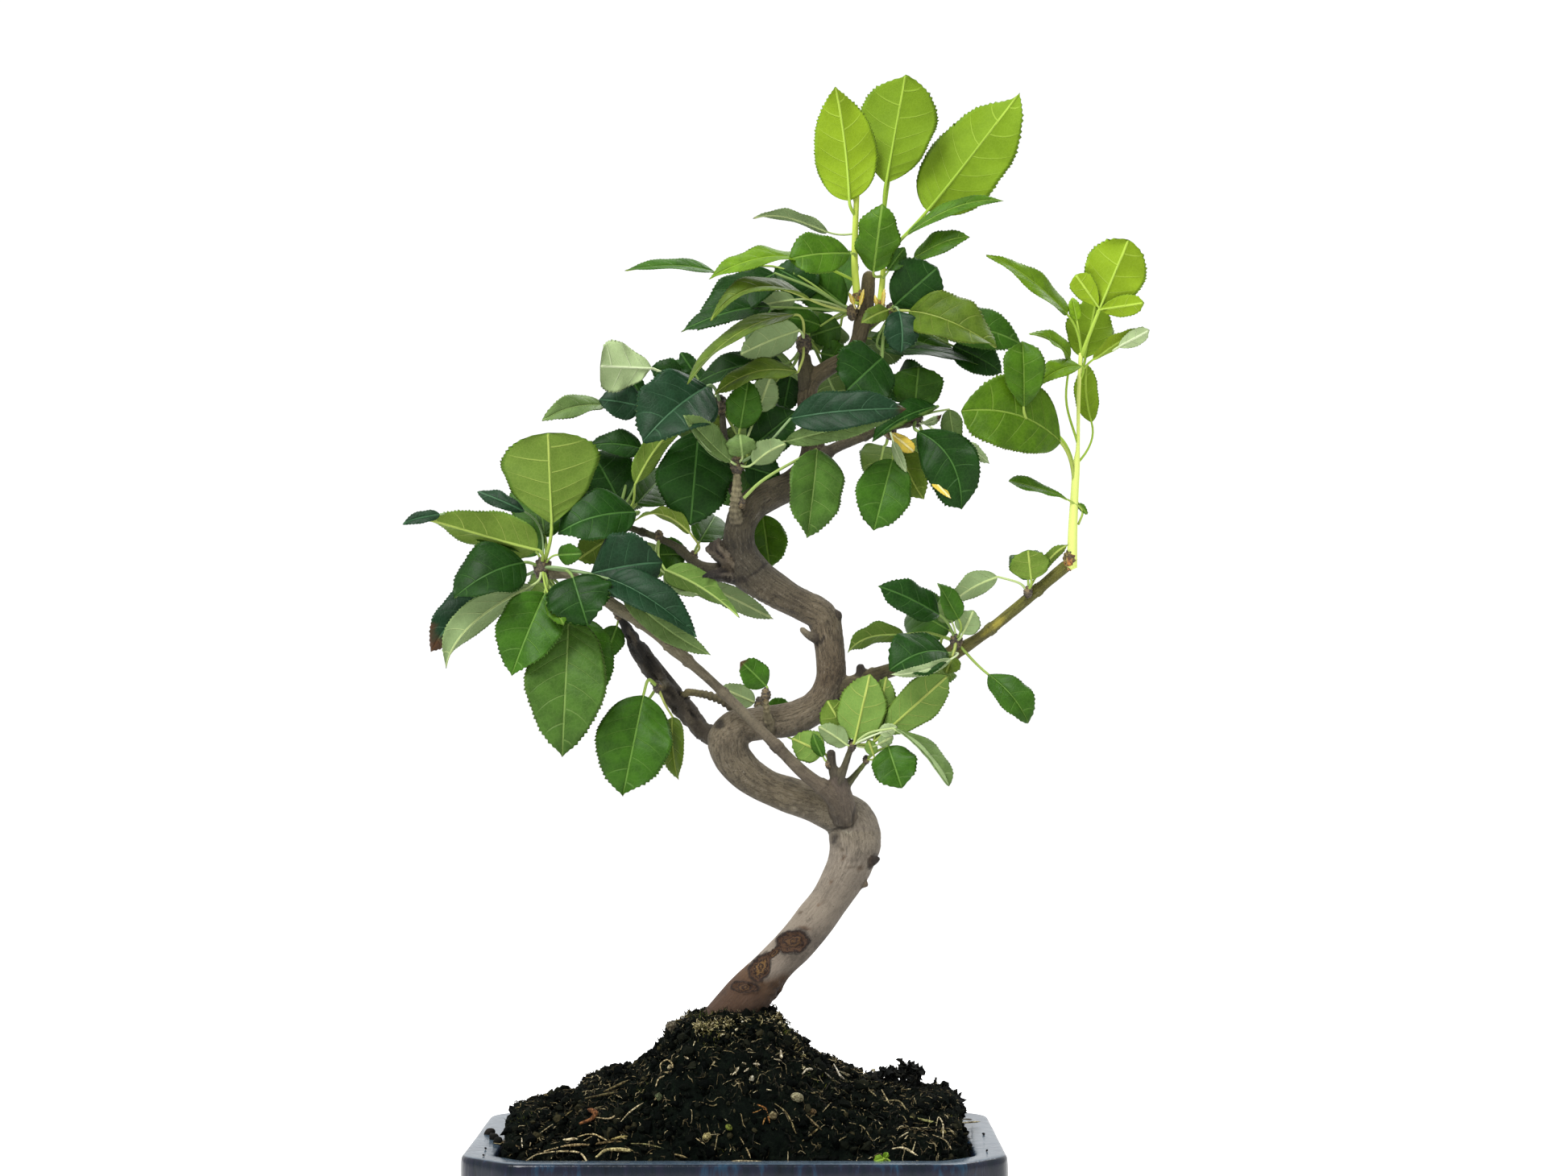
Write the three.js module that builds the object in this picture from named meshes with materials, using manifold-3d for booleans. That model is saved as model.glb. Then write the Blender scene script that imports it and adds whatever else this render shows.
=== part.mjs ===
import * as THREE from "three";
import { mergeVertices } from "three/addons/utils/BufferGeometryUtils.js";
import Module from "manifold-3d";

// An apple bonsai in its glazed pot. Millimetres, +Z up, the front towards -Y.
// Every place on the tree is written as [u, v, d]: u to the right of the pot's middle and v above
// its feet, as both are seen on the upright plane through the pot's middle, and d behind that plane.

// The point the tree is seen from.
const EYE_X = 18.5;
const EYE_AWAY = 1142;
const EYE_HEIGHT = 223;

// The foliage leans to the right of the pot, so the whole group is centred on its own box.
const MIDDLE_X = 16.95;
const MIDDLE_Y = 0;

// Clear space between pieces that touch.
const GAP = 0.3;

// Crumbs smaller than this, left where one surface cuts another, are evened out.
const EVEN = 0.02;

// The pot.
const POT_LENGTH = 205;
const POT_DEPTH = 155;
const POT_HEIGHT = 60;
const CUT_CORNER = 20;
const RIM_WIDTH = 13.5;
const FOOT_HEIGHT = 6;
const FOOT_LENGTH = 34;
const FOOT_DEPTH = 22;
const FLOOR_TOP = 13;
const DRAIN_HOLE = 18;
const DRAIN_PLACES = [-42, 42];
const SCREEN_SIDE = 30;
const SCREEN_THICK = 1.2;
const SCREEN_SLOT = 6;

// Leaves.
const PETIOLE = 0.75;
const BLADE_THICK = 1.3;
const SERRATION = 0.13;

const wasm = await Module();
wasm.setup();

// Point at depth d on the line of sight through (u, v) of the upright plane.
function seen([u, v, d]) {
  const reach = (EYE_AWAY + d) / EYE_AWAY;
  return new THREE.Vector3(
    EYE_X + (u - EYE_X) * reach,
    d,
    EYE_HEIGHT + (v - EYE_HEIGHT) * reach,
  );
}

// Closed geometry as a solid for joining and cutting.
function solidOf(geometry) {
  const bare = geometry.index ? geometry.toNonIndexed() : geometry.clone();
  bare.deleteAttribute("normal");
  bare.deleteAttribute("uv");
  const merged = mergeVertices(bare, 1e-4);
  return new wasm.Manifold(
    new wasm.Mesh({
      numProp: 3,
      vertProperties: merged.attributes.position.array,
      triVerts: new Uint32Array(merged.index.array),
    }),
  );
}

// Solid from a list of points and a list of triangles.
function solidFrom(points, triangles) {
  const geometry = new THREE.BufferGeometry().setFromPoints(points);
  geometry.setIndex(triangles.flat());
  return solidOf(geometry);
}

function joined(solids) {
  return solids.reduce((whole, next) => whole.add(next));
}

// The largest body of a solid, without the scraps that a cut leaves.
function mainBody(solid) {
  return solid
    .decompose()
    .reduce((best, body) => (body.volume() > best.volume() ? body : best));
}

function meshOf(name, solid, finish) {
  const made = solid.getMesh();
  const stride = made.numProp;
  const points = [];
  for (let i = 0; i < made.numVert; i++)
    points.push(new THREE.Vector3(...made.vertProperties.subarray(i * stride, i * stride + 3)));
  const geometry = new THREE.BufferGeometry().setFromPoints(points);
  geometry.setIndex([...made.triVerts]);
  geometry.computeVertexNormals();
  const mesh = new THREE.Mesh(geometry, finish);
  mesh.name = name;
  return mesh;
}

// Triangles of the quads between ring i and ring i + 1, all rings having the same count of points.
function ringQuads(rings, sides) {
  const triangles = [];
  for (let i = 0; i + 1 < rings; i++)
    for (let k = 0; k < sides; k++) {
      const a = i * sides + k;
      const b = i * sides + ((k + 1) % sides);
      triangles.push([a, b, b + sides], [a, b + sides, a + sides]);
    }
  return triangles;
}

// Rings of points joined by quads and closed at both ends by a fan to a middle point.
function loft(rings) {
  const sides = rings[0].length;
  const points = rings.flat();
  const triangles = ringQuads(rings.length, sides);
  const middle = (ring) =>
    ring.reduce((sum, p) => sum.add(p), new THREE.Vector3()).divideScalar(ring.length);
  const first = points.length;
  points.push(middle(rings[0]), middle(rings.at(-1)));
  const last = (rings.length - 1) * sides;
  for (let k = 0; k < sides; k++) {
    const next = (k + 1) % sides;
    triangles.push([first, next, k], [first + 1, last + k, last + next]);
  }
  return solidFrom(points, triangles);
}

// Tube of round section along places [u, v, d, radius], with domed ends; grow swells it all round.
function tube(places, sides, grow = 0) {
  const curve = new THREE.CatmullRomCurve3(places.map(seen), false, "centripetal");
  const count = places.length - 1;
  const at = (i) => curve.getPoint(i / count);
  const radius = (i) => places[i][3] + grow;
  const rings = [];
  let side = new THREE.Vector3(0.3, 1, 0.1);
  const ring = (centre, along, size) => {
    side = side.clone().addScaledVector(along, -side.dot(along)).normalize();
    const other = new THREE.Vector3().crossVectors(along, side);
    const points = [];
    for (let k = 0; k < sides; k++) {
      const turn = (2 * Math.PI * k) / sides;
      points.push(
        centre
          .clone()
          .addScaledVector(side, size * Math.cos(turn))
          .addScaledVector(other, size * Math.sin(turn)),
      );
    }
    rings.push(points);
  };
  const along = (i) =>
    at(Math.min(i + 0.5, count))
      .sub(at(Math.max(i - 0.5, 0)))
      .normalize();
  const dome = 0.55;
  ring(at(0).addScaledVector(along(0), -dome * radius(0)), along(0), 0.6 * radius(0));
  for (let i = 0; i <= count; i++) ring(at(i), along(i), radius(i));
  ring(
    at(count).addScaledVector(along(count), dome * radius(count)),
    along(count),
    0.6 * radius(count),
  );
  return loft(rings);
}

// Frame of a leaf blade. A row holds [base u, v, d, tip u, v, d, width, roll, arch, fold]: roll turns
// the top face away from the viewer about the midrib, arch bows the midrib towards the top face by a
// share of the length, and fold lifts each half from flat, both angles in degrees. The options are
// sweep, a sideways bow, broad, how far along the blade it is widest, and by, places the petiole
// passes.
function leafOf(row) {
  const [u0, v0, d0, u1, v1, d1, width, roll, arch, fold, options = {}] = row;
  const base = seen([u0, v0, d0]);
  const tip = seen([u1, v1, d1]);
  const along = tip.clone().sub(base);
  const length = along.length();
  along.normalize();
  const viewer = new THREE.Vector3(EYE_X, -EYE_AWAY, EYE_HEIGHT).sub(base).normalize();
  const across = new THREE.Vector3().crossVectors(along, viewer).normalize();
  const facing = new THREE.Vector3().crossVectors(across, along);
  const turn = THREE.MathUtils.degToRad(roll);
  const up = facing.clone().multiplyScalar(Math.cos(turn)).addScaledVector(across, Math.sin(turn));
  const side = new THREE.Vector3().crossVectors(along, up);
  const { sweep = 0, broad = 0.42, by = [] } = options;
  const lift = THREE.MathUtils.degToRad(fold);
  return { base, along, up, side, length, width, arch, sweep, lift, broad, by };
}

// Half the width of the blade a share t along it.
function halfWidth(leaf, t) {
  const a = 1.3 * leaf.broad;
  const b = 1.3 - a;
  const most = leaf.broad ** a * (1 - leaf.broad) ** b;
  return (0.5 * leaf.width * t ** a * (1 - t) ** b) / most;
}

// Point a share t along the blade and a distance s across it, lifted by h from its surface.
function bladePoint(leaf, t, s, h) {
  const bow = 4 * t * (1 - t) * leaf.length;
  return leaf.base
    .clone()
    .addScaledVector(leaf.along, t * leaf.length)
    .addScaledVector(leaf.up, leaf.arch * bow + Math.abs(s) * Math.sin(leaf.lift) + h)
    .addScaledVector(leaf.side, leaf.sweep * bow + s * Math.cos(leaf.lift));
}

// One leaf: a three-sided petiole from its root, widening into a thin toothed blade whose two faces
// share their margin and are split into the same triangles.
function leafSolid(row, root) {
  const leaf = leafOf(row);
  const start = leaf.along
    .clone()
    .addScaledVector(leaf.up, 4 * leaf.arch)
    .addScaledVector(leaf.side, 4 * leaf.sweep)
    .normalize();
  const away = leaf.base.distanceTo(root);
  const route = leaf.by.length
    ? new THREE.CatmullRomCurve3([root, ...leaf.by.map(seen), leaf.base])
    : new THREE.QuadraticBezierCurve3(
        root,
        leaf.base.clone().addScaledVector(start, -0.45 * away),
        leaf.base,
      );
  const bends = 2 + leaf.by.length;
  const points = [];
  const triangles = [];
  for (let i = 0; i < bends; i++) {
    const centre = route.getPoint(i / bends);
    const ahead = route.getTangent(i / bends);
    const right = leaf.side.clone().addScaledVector(ahead, -leaf.side.dot(ahead));
    if (right.length() < 0.2) right.copy(leaf.up).addScaledVector(ahead, -leaf.up.dot(ahead));
    right.normalize();
    const top = new THREE.Vector3().crossVectors(right, ahead);
    const low = centre.clone().addScaledVector(top, -0.5 * PETIOLE);
    points.push(
      centre.clone().addScaledVector(top, PETIOLE),
      low.clone().addScaledVector(right, PETIOLE),
      low.clone().addScaledVector(right, -PETIOLE),
    );
  }
  triangles.push([0, 2, 1]);
  const heel = 3 * bends;
  points.push(
    bladePoint(leaf, 0, 0, PETIOLE),
    bladePoint(leaf, 0, PETIOLE, -0.5 * PETIOLE),
    bladePoint(leaf, 0, -PETIOLE, -0.5 * PETIOLE),
  );
  triangles.push(...ringQuads(bends + 1, 3));

  const teeth = leaf.width > 26 ? 5 : leaf.width > 9.5 ? 3 : 1;
  const margin = [];
  for (let k = 0; k < teeth; k++) {
    margin.push([(0.94 * (k + 0.7)) / teeth, 1]);
    margin.push([(0.94 * (k + 0.95)) / teeth, 1 - SERRATION]);
  }
  const rib = leaf.width > 26 ? [0.2, 0.45, 0.7] : leaf.width > 9.5 ? [0.28, 0.62] : [0.42];
  const tops = [];
  const bottoms = [];
  for (const t of rib) {
    const half = 0.5 * BLADE_THICK * (1 - 0.5 * t);
    tops.push(points.push(bladePoint(leaf, t, 0, half)) - 1);
    bottoms.push(points.push(bladePoint(leaf, t, 0, -half)) - 1);
  }
  const rights = [heel + 1];
  const lefts = [heel + 2];
  for (const [t, share] of margin) {
    const half = Math.max(share * halfWidth(leaf, t), PETIOLE);
    rights.push(points.push(bladePoint(leaf, t, half, 0)) - 1);
    lefts.push(points.push(bladePoint(leaf, t, -half, 0)) - 1);
  }
  const tip = points.push(bladePoint(leaf, 1, 0, 0)) - 1;
  const ribStations = [...rib, 1];
  const edgeStations = [0, ...margin.map(([t]) => t), 1];
  // Triangles between the rib and one margin, taken in step along both.
  const face = (ribPoints, edgePoints, turned) => {
    const a = [...ribPoints, tip];
    const b = [...edgePoints, tip];
    let i = 0;
    let j = 0;
    const put = (p, q, r) => {
      if (p !== q && q !== r && r !== p) triangles.push(turned ? [p, r, q] : [p, q, r]);
    };
    while (i < a.length - 1 || j < b.length - 1)
      if (j < b.length - 1 && (i === a.length - 1 || edgeStations[j + 1] <= ribStations[i + 1])) {
        put(a[i], b[j], b[j + 1]);
        j++;
      } else {
        put(a[i], b[j], a[i + 1]);
        i++;
      }
  };
  triangles.push([heel, rights[0], tops[0]], [heel, tops[0], lefts[0]]);
  triangles.push([bottoms[0], rights[0], lefts[0]]);
  face(tops, rights, false);
  face(bottoms, rights, true);
  face(tops, lefts, true);
  face(bottoms, lefts, false);
  return solidFrom(points, triangles);
}

// The wood: the trunk, its branches and twigs, each a list of [u, v, d, radius].
const TRUNK = [
  [-14, 88, 0, 9],
  [-7, 101, 0, 10.5],
  [2.5, 112.5, 0, 9.6],
  [9, 121, 0, 8.4],
  [16, 129, 0, 7.8],
  [22.5, 135.5, 0, 7.9],
  [30.4, 145, 1, 7.7],
  [36, 152.5, 2, 7.6],
  [41, 160.5, 3, 8.3],
  [45.3, 169, 4, 9.5],
  [46.5, 177, 5, 10.4],
  [44, 184.5, 5, 9.6],
  [34.5, 189.5, 4, 8],
  [25, 192.8, 3, 7],
  [17.5, 195.2, 2, 6.7],
  [9.8, 198.4, 1, 6.5],
  [3, 203.4, 0, 6.8],
  [-2.2, 209.5, -1, 7.5],
  [-3.8, 215.5, -2, 8.4],
  [0, 220.8, -2, 7],
  [9, 222.3, -1, 6.4],
  [19, 223.6, 0, 6.5],
  [27.5, 226.3, 1, 6.6],
  [33.6, 231, 2, 6.7],
  [36.8, 239, 3, 6.2],
  [36.9, 249, 4, 6],
  [35.8, 257, 4, 6.2],
  [33.3, 264.5, 4, 6.5],
  [26.6, 268.6, 3, 6.4],
  [17.2, 273.8, 1, 6.8],
  [9, 278.8, 0, 7.3],
  [3, 284.8, -1, 7.9],
  [0.8, 293, -1, 6.7],
  [1.4, 301, 0, 6.4],
  [6, 308.2, 2, 6.5],
  [14.5, 313.2, 4, 6.2],
  [22.5, 317.3, 6, 5.8],
  [28.5, 325, 7, 5.2],
  [30, 337, 7, 4.6],
  [27.6, 350, 6, 4],
  [27, 362, 5, 3.8],
  [29, 368.5, 4, 4.6],
  [38, 371.8, 3, 3.4],
  [47, 377.5, 2, 3.3],
  [50.5, 389, 1, 3.2],
  [52, 401, 0, 2.9],
];
const BRANCHES = {
  front: [
    [43, 182, -2, 6.2],
    [40.5, 190, -7, 4.8],
    [35.2, 196, -11, 3.4],
    [27, 202.2, -13.5, 2.7],
    [13, 216, -14.5, 2.2],
    [-2, 231, -14, 2],
    [-12, 240.6, -13, 2.1],
    [-20.5, 248, -12.5, 2.4],
    [-24.5, 252, -12, 3.2],
    [-30, 256.4, -11.5, 2.4],
    [-39, 263, -11, 2.5],
    [-47.5, 268, -10, 2.6],
    [-57, 275.5, -9, 2],
    [-66, 281, -8, 1.9],
    [-74.5, 281.8, -8, 2.8],
  ],
  dark: [
    [-2, 213, 2, 5],
    [-13.5, 219.5, 7, 4.2],
    [-20, 227, 8, 4.4],
    [-27.5, 236, 9, 4.5],
    [-34.5, 245.5, 9, 4],
    [-41, 255, 8, 3.6],
    [-46, 264, 8, 1.4],
  ],
  knuckle: [
    [0, 286, -1, 6],
    [-6.5, 289.5, -2, 4.6],
    [-10.5, 293, -3, 3.2],
  ],
  left: [
    [1, 281.5, 2, 5],
    [-7, 282.3, 5, 3.6],
    [-15, 284.5, 7, 2.4],
    [-23, 291.5, 8, 1.7],
    [-31, 295.6, 8, 1.6],
    [-39, 298.5, 8, 1.5],
    [-47, 301, 7, 1.3],
  ],
  right: [
    [36, 233, 3, 5],
    [45, 237.3, 1, 3.9],
    [52.5, 240.6, -1, 3.2],
    [63, 244, -3, 2.9],
    [76, 247.6, -5, 2.6],
    [86, 250.6, -6, 3],
    [95, 255.8, -7, 2.3],
    [109, 266.8, -9, 2.3],
    [121, 277, -11, 2.4],
    [130.5, 285, -12, 2.6],
  ],
  fork: [
    [43, 182, -3, 5.6],
    [41.5, 193, -8, 4.4],
    [39.5, 200, -10, 3.2],
  ],
  forkStub: [
    [39.5, 199, -10, 2.6],
    [37.6, 205, -11, 1.9],
    [37, 211.5, -12, 1.8],
  ],
  forkStem: [
    [40, 199, -11, 2.2],
    [42.6, 206, -13, 1.6],
    [45, 213, -15, 1.3],
  ],
  forkShoot: [
    [41.5, 196, -8, 2],
    [46.5, 202, -9, 1.4],
    [51, 207.5, -11, 1],
  ],
  trunkSpur: [
    [13.5, 220, -5, 2],
    [11.8, 227, -9, 1.4],
    [11.3, 232.5, -11, 1.2],
  ],
  loopSpur: [
    [3, 225, 4, 2.6],
    [-6, 231.5, 6, 1.8],
    [-14, 234, 6, 1.6],
    [-20.5, 234.8, 5, 1.5],
  ],
  darkSpur: [
    [-28, 238, 7, 2.4],
    [-30.6, 236.6, 1, 1.7],
    [-31.2, 236.2, -3, 1.3],
  ],
  ringedSpur: [
    [0.5, 300, -3, 3],
    [-1, 307, -8, 2.2],
    [-0.3, 314, -10, 2.1],
    [0, 321.5, -10, 1.5],
  ],
  loopTwig: [
    [7, 309, 3, 2.6],
    [8, 308, 9, 1.5],
    [8.4, 307, 11.6, 1.1],
  ],
  backTwig: [
    [5, 306, 5, 3],
    [-4, 319, 9, 1.8],
    [-5, 333, 9, 1.7],
    [-6, 346, 7, 1.3],
  ],
  middle: [
    [28, 324, 6, 3.4],
    [38, 331, 3, 2.3],
    [48, 335.2, 1, 2],
    [58, 338.8, -1, 1.8],
    [70, 342, -3, 1.4],
  ],
  crownRight: [
    [49.5, 380, 2, 2.4],
    [55, 382.5, 2, 1.7],
    [60.5, 384.5, 1, 1.3],
  ],
  behindTwig: [
    [8, 224, 4, 2],
    [8.5, 228, 10, 1.3],
    [9, 229, 14, 1.1],
  ],
  bentStub: [
    [31, 255, 1, 2.6],
    [26, 257.3, -1, 1.9],
    [22.8, 260.8, -1, 1.6],
  ],
  topKnob: [
    [36, 263.5, 3, 3],
    [40.8, 265.4, 2, 2],
  ],
  rightStub: [
    [48.6, 239.6, -1, 2],
    [48.5, 243.2, -1, 1.7],
  ],
  sideKnot: [
    [51, 168, 0, 4],
    [55.2, 169.2, -1, 2.3],
  ],
  sideNub: [
    [49, 159.4, 1, 2],
    [51.5, 158.8, 0, 1.1],
  ],
  rootLeft: [
    [-10, 97, 0, 6],
    [-25, 84, -10, 3.6],
    [-40, 68, -18, 1.8],
  ],
  rootRight: [
    [-8, 95, 0, 6],
    [8, 84, 10, 3.4],
    [24, 66, 18, 1.7],
  ],
  rootBack: [
    [-12, 93, 2, 6],
    [-20, 76, 16, 3.2],
    [-24, 58, 28, 1.6],
  ],
  rootFront: [
    [-10, 93, -2, 6],
    [-4, 76, -14, 3.2],
    [4, 58, -26, 1.6],
  ],
};

// Each spray: the place where its leaves spring, the wood or green stem that it sits on, and rows of
// leaves. A hub wraps the end of its twig like the swollen cap of a fruit spur.
const SPRAYS = {
  left_spray: {
    hub: [-77, 282.3, -8.5, 3.8],
    leaves: [
      [-73.5, 301, -12, -75, 337, -10, 40, 180, 0.05, 8, { broad: 0.64 }],
      [-79, 291, -14, -132.5, 301, -26, 27, 142, 0.06, 36, { broad: 0.36, sweep: 0.05 }],
      [-84, 306, 0, -103, 314, 4, 7.5, 25, 0.05, 0, { broad: 0.6 }],
      [-81, 291, -4, -107, 297, -8, 11, 40, 0.08, 10],
      [-84, 286, -13, -112, 271.5, -24, 25, 25, 0.16, 12, { broad: 0.5 }],
      [-98, 277, 2, -121, 250.5, -2, 16, 20, 0.1, 5, { by: [[-86, 280, -1]] }],
      [-80, 277.5, -14, -115, 244, -30, 16, 150, 0.17, 38, { broad: 0.55 }],
      [-76, 274, -17, -89, 241, -25, 25, 8, 0.06, 6],
      [-74, 272, -5, -82, 247, -8, 15, 0, 0.05, 5],
      [-66.5, 264, -15, -69, 209, -22, 31, 0, 0.06, 8, { by: [[-75, 277, -14], [-69, 271, -15]] }],
      [-62, 263, -2, -52, 235.5, -4, 18, 8, 0.05, 5, { by: [[-75, 275, -4], [-67, 271, -2]] }],
      [-65, 280, -19, -59, 261, -26, 26, 0, 0.1, 0],
      [-58, 281.5, -14, -29.5, 286, -17, 27, -15, 0.06, 6, { broad: 0.5, by: [[-72, 284, -15]] }],
      [-51, 279.5, -19, -10, 248, -30, 20, -35, 0.1, 25, { broad: 0.36, by: [[-62, 282, -17]] }],
      [-74, 272, -23, -68.5, 261, -29, 7.5, 0, 0.05, 0],
      [-71, 289, -15, -61, 289.5, -18, 8, 0, 0.05, 0],
      [-78, 290, 6, -92, 301, 42, 22, 0, 0.08, 5],
      [-72, 276, 6, -84, 262, 42, 22, 180, 0.1, 5],
      [-68, 274, 8, -62, 254, 40, 20, 180, 0.1, 5],
      [-76, 296, 10, -80, 320, 40, 24, 0, 0.08, 5],
    ],
  },
  twig_end_leaf: {
    hub: [-46.6, 265.6, 8, 2.8],
    leaves: [
      [-47.5, 261, 12, -52, 248, 14, 10, 0, 0.05, 0],
      [-43, 268, 9, -38.5, 276, 10, 5, 180, 0.05, 10],
    ],
  },
  mid_left_spray: {
    hub: [-47.8, 301.3, 7, 2.9],
    leaves: [
      [-40, 306, -1, -71, 297, -8, 23, 28, 0.12, 6, { broad: 0.5 }],
      [-46, 309, 9, -58, 330, 12, 24, 10, 0.04, 0, { broad: 0.5 }],
      [-52, 305, 13, -67, 317, 15, 17, 0, 0.05, 0],
      [-40.5, 317, -4, -20.5, 343, -10, 12, -145, 0.1, 20, { by: [[-41.5, 309, 2]] }],
      [-49, 297, 0, -63, 287, -4, 14, 180, 0.1, 0],
      [-37.5, 331, 7, -59, 332, 4, 13, 35, 0.1, 5, { by: [[-40, 318, 9]] }],
      [-44, 318, 14, -56, 304, 48, 24, 180, 0.1, 5],
      [-40, 309, 14, -30, 320, 46, 20, 0, 0.08, 5],
    ],
  },
  arching_spray: {
    hub: [-17.5, 287.8, 8.5, 3.3],
    leaves: [
      [-18.5, 297.5, 2, -41, 302, -6, 11, 115, 0.2, 15, { by: [[-15, 292, 5]] }],
      [-13, 277.5, 17, 14.5, 263.5, 21, 9, 180, 0.1, 0],
      [-20, 289, 12, -33, 289, 13, 13, 10, 0.05, 0],
      [-15, 294, 18, -9, 304, 46, 16, 0, 0.08, 5],
    ],
  },
  hanging_olive_spray: {
    hub: [-31, 295.6, 8, 3],
    leaves: [
      [-28.5, 283, -2, 1, 264, -9, 13, -145, 0.1, 18, { broad: 0.3, by: [[-31, 288, 3]] }],
      [-29, 282, 4, -15, 273, 2, 9, 180, 0.05, 0],
      [-31, 292, 21, -38, 278, 48, 18, 180, 0.1, 5],
    ],
  },
  lower_left_spray: {
    hub: [-31.4, 236.1, -3.8, 2.9],
    leaves: [
      [-37, 233.5, -9, -45, 193.5, -15, 29, 0, 0.06, 5, { broad: 0.46, by: [[-35, 239.5, -8]] }],
      [-25.5, 225, -2, -23, 200, -4, 12, 35, 0.05, 10, { by: [[-28.5, 230, -4]] }],
      [-37, 228, 10, -42, 210, 38, 18, 180, 0.1, 5],
    ],
  },
  spur_spray: {
    hub: [0, 323.5, -10, 3],
    leaves: [
      [1, 339, -12, 4.5, 358.5, -11, 14, 0, 0.02, 8],
      [8, 346, -8, 13.5, 360.5, -6, 12, 180, 0.02, 5],
      [2, 328, -15, 1, 337, -19, 12, 0, 0.2, -20, { broad: 0.5 }],
      [-2.5, 326, -16, -21.5, 344.5, -31, 13, 30, -0.06, 18],
      [6, 325, -15, 19.5, 333, -19, 11, -150, 0.1, 12],
      [5, 331, -5, 23.5, 346, -7, 20, -15, 0.03, 0, { broad: 0.5 }],
      [21, 342, -16, 67, 347, -26, 19, -20, 0.07, 6, { by: [[10, 331, -13]] }],
      [3, 324, 0, 17, 320, 4, 15, 0, 0.05, 0],
    ],
  },
  drooping_leaf: {
    hub: [1.5, 309.5, -9, 2.2],
    leaves: [[28, 329, -14, 24.5, 296.5, -15, 24, -48, 0.03, 42, { by: [[10, 318.5, -14]] }]],
  },
  dark_spray: {
    hub: [-6.5, 347.5, 7, 3],
    leaves: [
      [-12, 356, -6, -37.5, 333.5, -24, 31, 18, 0.1, 0, { broad: 0.48 }],
      [-15.5, 338, 3, -18.5, 300.5, 1, 29, 0, 0.03, 0, { broad: 0.5 }],
      [-9, 345, 9, -12, 333.5, 9, 10, 180, 0.03, 0],
      [-38, 348, 3, -55, 350.5, 4, 15, 20, 0.04, 0, { by: [[-22, 350, 6]] }],
      [-53, 348.5, 8, -77.5, 342, 0, 11, 35, 0.1, 14, { by: [[-30, 352, 10]] }],
      [-33.5, 363, -2, -54.5, 364, -9, 21, 180, 0.04, 12, { broad: 0.6, by: [[-20, 357, 2]] }],
      [-22, 360.5, 9, -34.5, 363, 9, 11, 0, 0.04, 0, { by: [[-14, 355, 8]] }],
      [-17, 361, 12, -22.5, 369.5, 13, 7, 0, 0.05, 0],
      [-38, 352, 9, -43.5, 361.5, 10, 7, 0, 0.05, 0, { by: [[-22, 351, 9]] }],
      [-8, 342, 15, -20, 328, 50, 26, 180, 0.1, 5],
      [-2, 340, 14, 7, 322, 46, 24, 180, 0.1, 5],
      [-10, 352, 17, -28, 358, 50, 22, 0, 0.08, 5],
    ],
  },
  upper_left_spray: {
    hub: [26.4, 371.6, 3.3, 3.5],
    leaves: [
      [23, 384.5, -6, -20, 356.5, -28, 14, 58, 0.12, 10, { broad: 0.6 }],
      [24.5, 378.5, -2, 1, 368.5, -7, 16, 150, 0.05, 6, { by: [[26, 376.5, -0.5]] }],
      [18, 365, 8, -19.5, 354.5, 7, 15, 35, 0.14, 4],
      [24, 361.5, -8, -9.5, 352, -15, 13, 50, 0.16, 6, { by: [[26, 367, -4]] }],
      [21, 360, 8, 18, 345, 10, 11, 0, 0.03, 0],
      [33, 369, 11, 45, 367, 13, 12, 0, 0.05, 0, { by: [[26.8, 376, 6.2]] }],
      [22, 364, 16, 8, 350, 50, 24, 180, 0.1, 5],
      [34, 364, 16, 42, 346, 50, 24, 180, 0.1, 5, { by: [[28, 376, 9]] }],
      [20, 376, 14, 4, 383, 48, 22, 0, 0.08, 5],
    ],
  },
  crown_left_spray: {
    hub: [45.5, 384.5, -1.5, 2.6],
    leaves: [
      [29, 390.5, -7, -11, 382, -22, 14, 62, 0.18, 12],
      [13, 387.5, -1, -22.5, 377.5, -10, 12, 42, 0.1, 8, { by: [[30, 387, -1]] }],
      [23, 390.5, 5, 6, 387.5, 6, 9, 150, 0.03, 0],
      [33, 380, 9, 10, 382.5, 9, 13, 35, 0.14, 0, { by: [[41, 385, 4]] }],
      [15, 401, 5, -16, 378, 0, 18, 25, 0.12, 6, { by: [[30, 395, 4]] }],
      [32, 394, 8, 14.5, 403.5, 12, 17, 10, 0.05, 0],
      [-9, 401.5, 8, -45, 402, 0, 10, 62, 0.08, 18, { by: [[16, 403.5, 11]] }],
      [43, 388, 10, 24, 403, 15, 20, 0, 0.05, 0, { broad: 0.5 }],
      [41, 380, 9, 29, 376, 14, 14, 0, 0.05, 0, { by: [[42, 384, 3]] }],
      [44, 393, 14, 34, 406, 46, 22, 0, 0.08, 5],
      [38, 382, 16, 26, 370, 46, 20, 180, 0.1, 5],
    ],
  },
  crown_shoot_left: {
    hub: [48, 391, -4.5, 2.4],
    stem: [
      [47.8, 389, -4.5, 2.1],
      [46.6, 404, -5.5, 1.7],
      [46.8, 418, -6, 1.4],
      [47.5, 433.5, -6.5, 1.2],
    ],
    leaves: [
      [44.5, 430, -9, 39, 476, -16, 25, 180, 0.04, 10, { root: [47, 424, -6], sweep: -0.02 }],
      [31, 404.5, -9, -13.5, 398.5, -24, 18, 52, 0.1, 8, { root: [46.7, 398, -5.5] }],
      [43.5, 412, -11, 19.5, 412.5, -19, 12, 40, 0.08, 0, { root: [46.7, 411, -6], broad: 0.55 }],
      [35, 420, -6, 5.5, 423.5, -14, 10, 125, 0.12, 20, { root: [46.8, 417, -6] }],
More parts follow.
